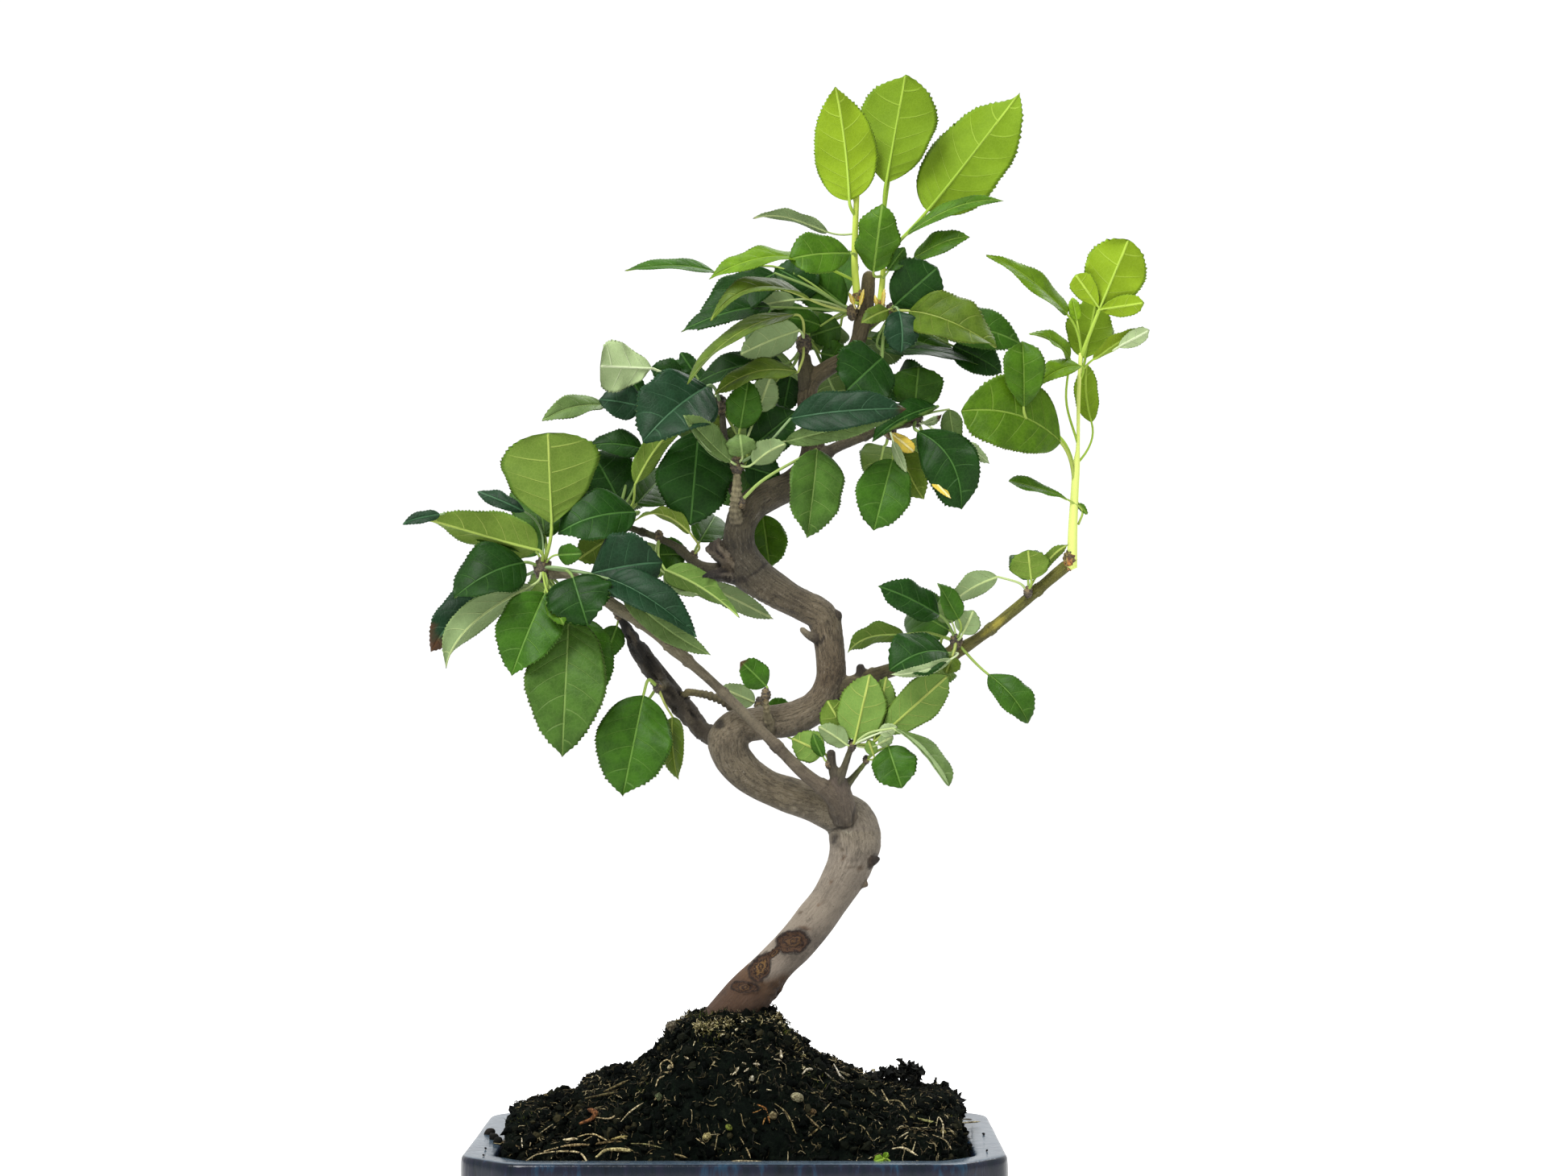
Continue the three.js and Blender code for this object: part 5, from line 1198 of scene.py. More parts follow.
        [70, 347, 10, 64, 361, 44, 22, 0, 0.08, 5, "deep"],
        [74, 336, 8, 82, 318, 40, 22, 180, 0.1, 5, "leaf"],
    ],
    "hanging_pair": [
        [60.3, 338.6, -1.5, 3.6],
        [61.5, 327, -11, 54, 298.5, -17, 21.5, 0, 0.06, 6, "leaf", {"broad": 0.48}],
        [64, 331, -3, 74, 311, -5, 15, 20, 0.05, 5, "olive", {"root": [60.5, 336.9, -1.5]}],
        [74.6, 323, -15, 84.8, 311.2, -19, 3.8, 150, 0.05, 5, "gold",
         {"root": [74.4, 324.4, -12], "twist": 0}],
        [61, 337.5, -9, 70, 329.8, -13, 5.5, 180, 0.1, 5, "gold", {"broad": 0.6}],
        [61.8, 334, -14, 67, 321.6, -15, 4.2, 20, 0.05, 5, "felt"],
        [58, 332, 10, 54, 314, 42, 18, 180, 0.1, 5, "leaf",
         {"root": [60, 336.9, -1], "by": [[59, 333, 4]]}],
    ],
    "right_shoot": [
        [131.5, 286, -13.5, 3],
        [143.5, 386, -13, 155.5, 414.5, -14, 25, 180, 0.03, 8, "sun",
         {"root": [136.5, 368, -9], "broad": 0.6}],
        [143.4, 387.5, -13.8, 134.3, 400.5, -15, 10, 180, 0.03, 5, "sun",
         {"root": [142.6, 384.5, -13], "broad": 0.7}],
        [144, 386.5, -13.8, 161.6, 389.2, -15, 8.5, 180, 0.03, 5, "sun",
         {"root": [142.8, 384.8, -13], "broad": 0.6}],
        [131, 384.5, -9, 98.8, 408.5, -13, 12.5, 52, 0.06, 12, "lime",
         {"root": [136.5, 368, -9], "broad": 0.26}],
        [134.8, 382, -7, 133, 391.5, -6, 5, 0, 0.05, 15, "sun", {"root": [136.5, 368, -9]}],
        [138, 367, -2, 142.5, 391, 3, 19, 180, 0.03, 5, "lime", {"root": [136.4, 362, -9], "broad": 0.5}],
        [141, 366.5, -5, 163, 378, -7, 8.5, -130, 0.05, 10, "sun", {"root": [136.3, 361, -9]}],
        [151, 371.5, -9.5, 163.7, 378.4, -9.8, 6.6, 180, 0.04, 5, "felt",
         {"root": [149, 370, -8], "broad": 0.6}],
        [132, 367, -13, 115.5, 377, -19, 10, 58, 0.14, 18, "lime",
         {"root": [134.9, 333, -11], "by": [[130.4, 350, -10]]}],
        [136, 364, -15, 119, 356.5, -21, 11, 45, 0.12, 8, "lime", {"root": [136.2, 359, -9]}],
        [140.4, 341.5, -6, 138.6, 365, -5, 9.5, 180, 0.04, 8, "lime",
         {"root": [134.4, 325, -11.5], "sweep": 0.05, "broad": 0.5}],
        [128.2, 333.5, -17, 88.6, 346, -29, 31, 20, 0.1, 6, "fresh",
         {"root": [133.3, 314, -12], "broad": 0.55, "sweep": 0.09, "twist": 0, "point": 0.15}],
        [113.5, 347.5, -27, 113, 374, -29, 17, 10, 0.05, 25, "spring",
         {"root": [114.5, 343, -25], "broad": 0.6}],
        [131, 310.8, -14.5, 107.3, 318.2, -18, 8, 48, 0.05, 8, "spring",
         {"root": [135, 301, -12.5], "by": [[136.6, 306.5, -12.5]], "broad": 0.8}],
        [135, 309.5, -12.5, 138.6, 305, -12.5, 2.6, 0, 0, 0, "spring", {"root": [134.4, 310, -12]}],
        [125, 338, 2, 106, 350, 30, 20, 0, 0.08, 5, "lime", {"root": [133.4, 318, -11]}],
        [138, 371, 6, 143, 384, 32, 15, 0, 0.08, 5, "lime", {"root": [136.4, 364, -8]}],
    ],
    "right_spur_spray": [
        [86.5, 253.5, -8, 2.8],
        [80, 265, -12, 55.5, 276.5, -19, 15, 30, 0.05, 6, "deep"],
        [87.5, 263.5, -16, 79, 277.8, -21, 10, 25, 0, 18, "leaf"],
        [85, 262, -3, 80.5, 272, -1, 10, 0, 0.02, 0, "downy"],
        [89, 257.5, -13, 93.5, 267, -15, 10, 180, 0.03, 5, "downy"],
        [66, 257.5, -10, 43.5, 250, -16, 13, 128, 0.13, 10, "leaf", {"by": [[76, 258, -8]]}],
        [83.5, 250, -17, 60, 243, -26, 23, 38, 0.2, 4, "deep", {"broad": 0.55, "twist": 0}],
        [84.5, 247.8, -27, 60.5, 241.6, -34, 4.4, 0, 0.05, 0, "felt",
         {"sweep": -0.06, "root": [86, 250, -14], "twist": 0}],
        [85, 249, -18, 82.5, 242, -21, 9, 0, 0.03, 0, "olive"],
        [99, 241.8, -14, 114.8, 222.3, -21, 15, -25, 0.12, 6, "leaf", {"broad": 0.6}],
        [84, 259, 4, 70, 267, 38, 20, 0, 0.08, 5, "leaf"],
        [80, 247, 2, 71, 238, 36, 18, 180, 0.1, 5, "leaf", {"by": [[81, 256, 0]]}],
    ],
    "branch_spray": [
        [114.9, 273.6, -13.2, 1.9],
        [116.3, 279, -16, 115, 291, -17, 15.5, 180, 0.04, 0, "spring", {"broad": 0.5}],
        [103, 280.3, -13, 82.5, 267.5, -17, 12, 140, 0.1, 14, "downy", {"by": [[112, 277.5, -14]]}],
        [119, 281.5, -14, 131, 293, -17, 6, -140, 0.08, 5, "spring"],
        [115, 279, -4, 114, 289, 24, 14, 0, 0.08, 5, "leaf"],
    ],
    "fork_spray": [
        [45.4, 213, -15, 1.9],
        [46.4, 215.5, -17, 52.5, 242, -16, 19, 180, 0.02, 4, "fresh", {"broad": 0.45, "twist": 0}],
        [44.5, 216, -14, 35.5, 231.5, -12, 14, 180, 0.02, 0, "spring", {"broad": 0.5}],
        [43.6, 213.8, -16, 32, 221.2, -17, 9.5, 150, 0.04, 8, "downy"],
        [54, 216, -14.5, 59, 241, -15, 13, 180, 0.03, 4, "fresh", {"twist": 0}],
        [57.5, 218, -15, 83.2, 241.2, -22, 16, 180, 0.04, 4, "fresh",
         {"broad": 0.56, "by": [[53, 214.5, -15]], "twist": 0}],
        [67, 227, -11, 82.6, 236.4, -16, 7, 180, 0.03, 0, "felt", {"by": [[60, 220, -13]], "twist": 0}],
        [55.6, 214, -17, 61.6, 217.4, -18, 5, 180, 0.03, 0, "downy"],
        [56, 218.5, -21.5, 63.4, 221, -21.5, 5.4, 180, 0.12, 0, "felt"],
        [61.5, 220.5, -22, 83.5, 197.5, -30, 13, -52, 0.12, 12, "downy",
         {"broad": 0.66, "by": [[52, 218.5, -20]], "cuff": [1, 0.45, 150], "point": 0.3, "twist": 0}],
    ],
    "fork_leaf": [
        [36, 205.7, -12, 1.5],
        [34, 210.8, -9, 21.5, 216.5, -8.5, 13, 180, 0.03, 0, "fresh"],
        [34, 209, -11, 30, 218.6, -10.5, 5, -20, 0.05, 5, "leaf"],
    ],
    "round_leaf": [
        [50.9, 207.6, -11.2, 1.5],
        [59.5, 213.4, -17, 65, 196.8, -23, 17.5, 0, 0.08, 0, "leaf",
         {"broad": 0.5, "by": [[54.5, 211, -14]]}],
        [53.9, 209.8, -17, 51.7, 216, -18, 4.8, 180, 0.05, 0, "fresh"],
    ],
    "small_leaf": [
        [11.3, 233, -11.2, 2.1],
        [11.6, 237, -12, 1.2, 246.6, -15, 12, 15, 0.03, 5, "leaf", {"broad": 0.5, "burn": 0.14}],
    ],
    "loop_leaf": [
        [8.5, 306.7, 12.2, 2.4],
        [10, 305, 16, 13, 284, 18, 17, 0, 0.05, 0, "spring", {"broad": 0.5}],
        [4, 309, 18, -4, 318, 42, 16, 0, 0.08, 5, "leaf"],
    ],
    "trunk_back_leaves": [
        [9, 229.2, 14.8, 2.4],
        [7, 230.5, 17, -7, 236.8, 19, 9, 180, 0.04, 5, "downy"],
        [12, 228.5, 18, 21, 229.8, 20, 7, 0, 0.03, 0, "leaf"],
        [22, 216, 17, 33.5, 211, 19, 9, 0, 0.05, 0, "leaf"],
    ],
}

PETIOLE = 0.62
TOOTH_PITCH = 1.45
RIB_PLACES = 18
ACROSS = np.array([0.05, 0.2, 0.45, 0.7, 0.9, 1])
ACROSS = np.concatenate([-ACROSS[::-1], [0], ACROSS])
# A fresh seed, so that no leaf changes with the number of crumbs.
random = np.random.default_rng(19)


def gathered(parts):
    """Joins parts of one piece, each with points, faces, values of its points and a finish number."""
    points, faces, values, finish = [], [], {}, []
    start = 0
    for part_points, part_faces, part_values, number in parts:
        points.append(part_points)
        for f in part_faces:
            faces.append(f + start)
            finish.append(np.full(len(f), number))
        for name, value in part_values.items():
            values.setdefault(name, []).append(value)
        start += len(part_points)
    values = {name: np.concatenate(each) for name, each in values.items()}
    return np.concatenate(points), faces, values, np.concatenate(finish)


def dressed(name, parts, *finishes):
    """A shown piece made of gathered parts, with its stored values and a finish for each face."""
    points, faces, values, number = gathered(parts)
    mesh = mesh_of(name, points, faces)
    for key, value in values.items():
        store(mesh, key, value)
    piece = shown(name, mesh, *finishes)
    mesh.polygons.foreach_set("material_index", number.astype(np.int32))
    return piece


def alike(count, values):
    """The same values for every point."""
    return {name: np.tile(np.asarray(value, float), (count, 1)) for name, value in values.items()}


class Blade:
    """The form of one leaf. Its midrib bows by 4t(1-t) and hooks by 6.75 t^2 (1-t), its halves fold up
    and round off, it turns slowly about its length, and part of its margin may roll over in a cuff."""

    def __init__(self, base, tip, width, roll, arch, fold, own):
        self.base = base
        self.length = np.linalg.norm(tip - base)
        self.along = (tip - base) / self.length
        to_eye = unit(np.array([EYE_X, -EYE_AWAY, EYE_HEIGHT]) - base)
        across = unit(np.cross(self.along, to_eye))
        turn = math.radians(roll)
        self.up = np.cross(across, self.along) * math.cos(turn) + across * math.sin(turn)
        self.side = np.cross(self.along, self.up)
        self.width = width
        self.arch = arch
        self.sweep = own.get("sweep", 0)
        self.lean = math.radians(fold + abs(random.normal(0, 9)))
        self.twist = math.radians(own.get("twist", random.normal(0, 18)))
        self.hook = random.uniform(-0.02, 0.06)
        self.wave = random.uniform(0.025, 0.07)
        self.pace = random.uniform(1.5, 2.6, 2)
        self.phase = random.uniform(0, 1, 2)
        self.point = own.get("point", 0.75)
        self.cuff_side, self.cuff_from, cuff = own.get("cuff", (0, 1, 0))
        self.cuff = math.radians(cuff)
        self.a = 1.3 * own.get("broad", 0.42)
        self.b = 1.3 - self.a
        self.most = (self.a / 1.3) ** self.a * (self.b / 1.3) ** self.b

    def half_width(self, t):
        """Half the blade's width: t^a (1-t)^b, drawn to a point at the tip and narrowed at the base."""
        t = np.clip(t, 1e-6, 1 - 1e-6)
        drawn = (1 - np.exp(-(1 - t) / 0.06)) ** self.point * (1 - np.exp(-t / 0.03)) ** 0.35
        return 0.5 * self.width * t**self.a * (1 - t) ** self.b / self.most * drawn

    def place(self, t, s=0.0, h=0.0):
        """Point t along the blade and s mm across it, lifted by h mm."""
        t, s, h = np.broadcast_arrays(*(np.asarray(value, float) for value in (t, s, h)))
        half_width = self.half_width(t)
        share = np.clip(np.abs(s) / half_width, 0, 1)
        rise = self.lean * (0.8 + 0.4 * t)
        level = s * np.cos(rise * (1 - 0.35 * share))
        lift = np.abs(s) * np.sin(rise) * (1 - 0.4 * share)
        beyond = np.clip(share - self.cuff_from, 0, 1) * half_width * (s * self.cuff_side > 0)
        curl = self.cuff * np.clip((share - self.cuff_from) / 0.08, 0, 1)
        slant = rise + curl * (beyond > 0)
        level = level + np.sign(s) * (beyond * (np.cos(slant) - np.cos(rise)) - h * np.sin(slant))
        lift = lift + beyond * (np.sin(slant) - np.sin(rise)) + h * np.cos(slant)
        spin = self.twist * (t - 0.4) / 0.6
        bow = 4 * t * (1 - t)
        out = level * np.cos(spin) - lift * np.sin(spin) + self.sweep * bow * self.length
        raised = level * np.sin(spin) + lift * np.cos(spin)
        raised = raised + (self.arch * bow + self.hook * 6.75 * t**2 * (1 - t)) * self.length
        on_line = self.base + self.along * (t * self.length)[..., None]
        return on_line + self.up * raised[..., None] + self.side * out[..., None]


def sheet_faces(rows, columns):
    """Faces of a closed sheet: a grid on top, one below that shares its margins, and fans from both to
    the two end points. Points come in the order top, rest of the underside, ends."""
    top = np.arange(rows * columns).reshape(rows, columns)
    under = top.copy()
    under[:, 1:-1] = rows * columns + np.arange(rows * (columns - 2)).reshape(rows, -1)
    first = rows * (2 * columns - 2)
    quads = []
    fans = []
    for index, turned_over in ((top, False), (under, True)):
        corners = [index[:-1, :-1], index[:-1, 1:], index[1:, 1:], index[1:, :-1]]
        face = np.stack(corners, -1).reshape(-1, 4)
        start = np.stack([np.full(columns - 1, first), index[0, 1:], index[0, :-1]], 1)
        end = np.stack([np.full(columns - 1, first + 1), index[-1, :-1], index[-1, 1:]], 1)
        quads.append(face[:, ::-1] if turned_over else face)
        fans += [start[:, ::-1], end[:, ::-1]] if turned_over else [start, end]
    return quads + fans


def blade_part(blade, tone, burn):
    """The blade as a closed sheet on a grid of margin stations m and places s across it, whose rows run
    out and forward like the side veins: t = m - 0.8 (1 - |s|^1.35) m (1 - m). Its skin swells between
    veins as |sin(pi vein)|, and its margin is a forward saw with two stations to a tooth."""
    width, length, pace, phase = blade.width, blade.length, blade.pace, blade.phase
    teeth = int(np.clip(round(1.12 * length / TOOTH_PITCH), 5, 36))
    rows = 2 * teeth - 1
    columns = len(ACROSS)
    station = np.arange(1, rows + 1)
    m = (station / (rows + 1))[:, None]
    s = ACROSS[None]
    t = m - 0.8 * (1 - np.abs(s) ** 1.35) * m * (1 - m)
    depth = np.clip(0.17 + 0.02 * width, 0.25, 0.75) * np.clip(9 * m, 0, 1) * np.clip(9 * (1 - m), 0, 1)
    saw = (station % 2 * (0.74 + 0.26 * np.sin(1.9 * (station // 2) + 9 * phase[0])))[:, None]
    tooth = depth * saw * np.abs(s) ** 14
    veins = int(np.clip(round(length / 9) + 2, 4, 8))
    vein = veins * m**0.9 + np.where(s < 0, 0.5, 0)
    ripple = np.sin(2 * np.pi * np.where(s < 0, pace[0] * t + phase[0], pace[1] * t + phase[1]))
    swell = 0.016 * width * np.abs(np.sin(np.pi * vein)) * np.abs(s) ** 0.5 * (1 - np.abs(s) ** 3)
    lift = swell + blade.wave * width * ripple * np.abs(s) ** 2.5 - 0.16 * np.exp(-((s / 0.08) ** 2))
    thick = 0.06 + 0.2 * (1 - s**2)
    uneven_width = 1 + 0.055 * ripple * np.clip(4 * m * (1 - m), 0, 1)
    reach = s * blade.half_width(t) * uneven_width + np.sign(s) * tooth
    onward = t + tooth * 0.8 / length
    top = blade.place(onward, reach, lift + np.where(np.abs(s) == 1, 0, thick))
    under = blade.place(onward, reach, lift - thick)[:, 1:-1]
    ends = blade.place(np.array([0.0, 1.0]))
    points = np.concatenate([top.reshape(-1, 3), under.reshape(-1, 3), ends])

    def on_sheet(field, at_tip=0):
        """A field of the grid at every point: the top, the rest of the underside and the two ends."""
        field = np.broadcast_to(field, (rows, columns))
        return np.concatenate([field.ravel(), field[:, 1:-1].ravel(), [0, at_tip]])

    below = np.concatenate([np.zeros(rows * columns), np.ones(rows * (columns - 2)), [0, 0]])
    top_paint, under_paint, top_vein, under_vein = (np.array(paint(code)) for code in TONES[tone].split())
    shade = random.uniform(0.88, 1.1)
    number = random.uniform(0, 500)
    burnt = np.clip((on_sheet(t, 1) - 1 + burn * (1 + 0.5 * clouds(points, 3, 8))) * 12, 0, 1) * (burn > 0)
    blade_paint = blend(np.where(below[:, None], under_paint, top_paint) * shade, burnt, paint("4a3220"))
    vein_paint = blend(np.where(below[:, None], under_vein, top_vein) * shade, burnt, paint("5a3f28"))
    values = {
        "tone": blade_paint,
        "vein_tone": vein_paint,
        "station": np.stack([on_sheet(s), on_sheet(vein), below], 1),
        "lamina": np.stack([on_sheet(reach), on_sheet(t, 1) * length, np.full(len(points), number)], 1),
    }
    return points, sheet_faces(rows, columns), values, 0


def stalk_part(blade, root, by, tone):
    """The petiole and the midrib under the blade as one tapered tube, from the root through the places
    in by, or else along a parabola that runs on into the blade."""
    if by:
        stops = np.linspace(0, len(by) + 1, 7 + 5 * len(by))
        route = through(np.stack([root, *seen(by), blade.base]), stops)
    else:
        w = np.linspace(0, 1, 9)[:, None]
        onward = unit(blade.along + 4 * blade.arch * blade.up + 4 * blade.sweep * blade.side)
        knee = blade.base - 0.45 * np.linalg.norm(blade.base - root) * onward
        route = (1 - w) ** 2 * root + 2 * w * (1 - w) * knee + w**2 * blade.base
    thickest = min(PETIOLE, 0.28 + 0.014 * blade.width)
    stalk = thickest * np.linspace(1.25, 1, len(route))
    rib = thickest * np.linspace(0.95, 0.22, RIB_PLACES)
    path = np.concatenate([route, blade.place(np.linspace(0.03, 0.94, RIB_PLACES), 0, -0.8 * rib)])
    points, faces = tubes(path[None], np.concatenate([stalk, rib])[None], 6)
    _, _, top_vein, under_vein = (np.array(paint(code)) for code in TONES[tone].split())
    return points, faces, stalk_values(points, 0.6 * under_vein + 0.4 * top_vein, 0.3), 0


def stalk_values(points, colour, streak):
    """What the leaf finish reads on a petiole or a green stem: one paint, and mottles drawn out along
    it where streak is under 1."""
    values = alike(len(points), {"tone": colour, "vein_tone": colour, "station": [0, 0, 1]})
    values["lamina"] = points * (1, 1, streak)
    return values


def own_values(row):
    """What the row of a leaf gives by name, after its plain values."""
    return row[11] if len(row) > 11 else {}


def leaf_parts(row, heart):
    """A blade and its stalk. Stalks spring from the heart of the spray, unless the row gives a root."""
    *ends, width, roll, arch, fold, tone = row[:11]
    own = own_values(row)
    base, tip = seen(np.reshape(ends, (2, 3)))
    blade = Blade(base, tip, width, roll, arch, fold, own)
    root = seen(own["root"]) if "root" in own else heart
    return [blade_part(blade, tone, own.get("burn", 0)), stalk_part(blade, root, own.get("by"), tone)]


def spur_part(hub, young):
    """The swollen end of a twig: an upright ovoid ringed by leaf scars, with a few bud scales."""
    u, v, d, size = hub
    rise = np.linspace(0, np.pi, 22)[1:-1, None]
    turn = np.linspace(0, 2 * np.pi, 20, endpoint=False)[None]
    ball = [np.sin(rise) * np.cos(turn), np.sin(rise) * np.sin(turn), np.cos(rise) + 0 * turn]
    ball = np.stack(ball, -1)
    centre = seen([u, v + 0.3 * size, d])
    uneven = 0.07 * np.sin(13 * rise + turn) + 0.16 * clouds(ball * size + centre, 1.5, 4)
    rings = centre + ball * (1 + uneven)[..., None] * size * (0.92, 0.92, 1.25)
    tips = centre + np.array([[0, 0, 1.2], [0, 0, -1.2]]) * size
    points = np.concatenate([rings.reshape(-1, 3), tips])
    wood_paint, scale_paint = [paint(c) for c in (("8c7a3c", "b9762f") if young else ("5d513b", "7d6a45"))]
    scaly = clouds(points, 1.6, 6)[:, None] > 0.25
    values = alike(len(points), {"vein_tone": wood_paint, "station": [0.5, 0.5, 1]})
    values["tone"] = np.where(scaly, scale_paint, wood_paint)
    values["lamina"] = points
    return points, closed_grid(*rings.shape[:2], flip=True), values, 1


def leaf_finish(name):
    """Blade and petiole: stored paints, side veins at whole vein numbers, a fine net between them."""
    finish = Finish(name, Specular_IOR_Level=0.1)
    s, vein, under = finish.axes(finish.stored("station"))
    lamina = finish.stored("lamina")
    edge = abs(s)
    between = abs(vein.math("FRACT") - 0.5)
    side_vein = between.step(0.455, 0.49) * (1 - edge.step(0.5, 1) * 0.85)
    midrib = abs(finish.axes(lamina)[0]).step(0.55, 0.28)
    net = finish.cells(lamina, 1.6, "DISTANCE_TO_EDGE").step(0.14, 0.02) * (1 - midrib)
    mottle = finish.noise(lamina, 7, 4, 0.6)
    fine = finish.noise(lamina, 0.9, 2, 0.5)
    tone = finish.stored("tone", 0)
    dark = finish.mix(1, tone, paint("c3cfb8"), "MULTIPLY")
    colour = finish.mix(1 - (1 - mottle.step(0.35, 0.65)) * (0.55 - under * 0.35), dark, tone)
    rim = edge.step(0.94, 0.985) * 0.3
    lines = side_vein * (under * 0.15 + 0.32)
    for line in (midrib * (under * 0.2 + 0.65), net * 0.06, rim):
        lines = lines.math("MAXIMUM", line)
    finish.set(Base_Color=finish.mix(lines, colour, finish.stored("vein_tone", 0)))
    finish.set(Roughness=fine * 0.12 + under * 0.26 + 0.4)
    finish.relief((side_vein + net * 0.15 + midrib) * (under * 2 - 1) + fine * 0.2, 0.00018)
    return finish


# Every spray in turn: its spur, its green stem if it has one, and its leaves, as one piece.
old_leaf = leaf_finish("leaf")
young_leaf = leaf_finish("young_leaf")
scale = Finish("bud_scale", Roughness=0.7)
flake = scale.noise(scale.place(), 0.0012, 4, 0.7)
tone = scale.stored("tone", 0)
dark = scale.mix(1, tone, paint("77706a"), "MULTIPLY")
scale.set(Base_Color=scale.mix(flake.step(0.4, 0.62), dark, tone))
scale.relief(flake, 0.0006)

for name, (hub, *leaves) in SPRAYS.items():
    u, v, d, size = hub
    heart = seen([u, v + 0.4 * size, d - 0.1 * size])
    parts = [spur_part(hub, name in STEMS)]
    if name in STEMS:
        code, *places = STEMS[name]
        path = limb(places, 2)
        points, faces = tubes(path[None, :, :3], path[None, :, 3], 14)
        parts.append((points, faces, stalk_values(points, paint(code), 0.2), 0))
    for row in leaves:
        towards = unit(seen(own_values(row).get("by", [row[:3]])[0]) - heart)
        parts += leaf_parts(row, heart + 0.4 * size * towards)
    young = name in YOUNG
    spray = dressed(name + "_leaves", parts, young_leaf if young else old_leaf, scale)
    fixed(spray, "young_leaf" if young else "leaf", name)

# The straws. Dried grass stems and thin roots that have fallen on the soil and the pot's rim: brittle,
# pale and hollow, lying as they fell. Each is [thickness, paint, (u, v) places along it].
SKIN_CELL = 1.6
SKIN_CELLS = np.array([150, 100])
SIGHT_DEPTHS = np.linspace(-69, 62, 263)


def cell_of(places):
    """The cell, in a map of the soil from above, that each place (x, y) lies in."""
    return (places / SKIN_CELL + SKIN_CELLS / 2).astype(int).clip(0, SKIN_CELLS - 1)


skin_cells = np.zeros(SKIN_CELLS)
np.maximum.at(skin_cells, tuple(cell_of(soil_points[inner, :2]).T), soil_points[inner, 2])


def soil_skin(x, y):
    """Height of the rough earth at each place, or of the even mound where no point of it lies."""
    height = skin_cells[tuple(np.moveaxis(cell_of(np.stack([x, y], -1)), -1, 0))]
    within = (np.abs(x) < 0.5 * POT_LENGTH - RIM_WIDTH) & (np.abs(y) < 0.5 * POT_DEPTH - RIM_WIDTH)
    return np.where(within, np.where(height > 0, height, soil_height(x, y)), RIM_TOP)


def laid(places, lift=0.8):
    """The first point, along the sight line through each place [u, v], that lies lift mm above the
    earth or the rim."""
    places = np.atleast_2d(np.asarray(places, float))
    depths = np.tile(SIGHT_DEPTHS[:, None], (len(places), 1, 1))
    line = seen(np.concatenate([np.repeat(places[:, None], len(SIGHT_DEPTHS), 1), depths], -1))
    first = (line[..., 2] < soil_skin(line[..., 0], line[..., 1]) + lift).argmax(1)
    return line[np.arange(len(places)), first]


def hued(count, *codes):
    """Random colours, one for each of count things, between two neighbours of a row of paints."""
    row = np.array([paint(code) for code in codes])
    spot = random.uniform(0, len(row) - 1, count)
    low = np.minimum(spot.astype(int), len(row) - 2)
    return row[low] + (spot - low)[:, None] * (row[low + 1] - row[low])


chaff = Finish("dry_litter", Roughness=0.85, Specular_IOR_Level=0.15)
streak = chaff.noise(chaff.place(), 0.0009, 4, 0.7)
tone = chaff.stored("tone", 0)
dark = chaff.mix(1, tone, paint("8d8578"), "MULTIPLY")
chaff.set(Base_Color=chaff.mix(streak.step(0.42, 0.64), dark, tone))
chaff.relief(streak, 0.0003)

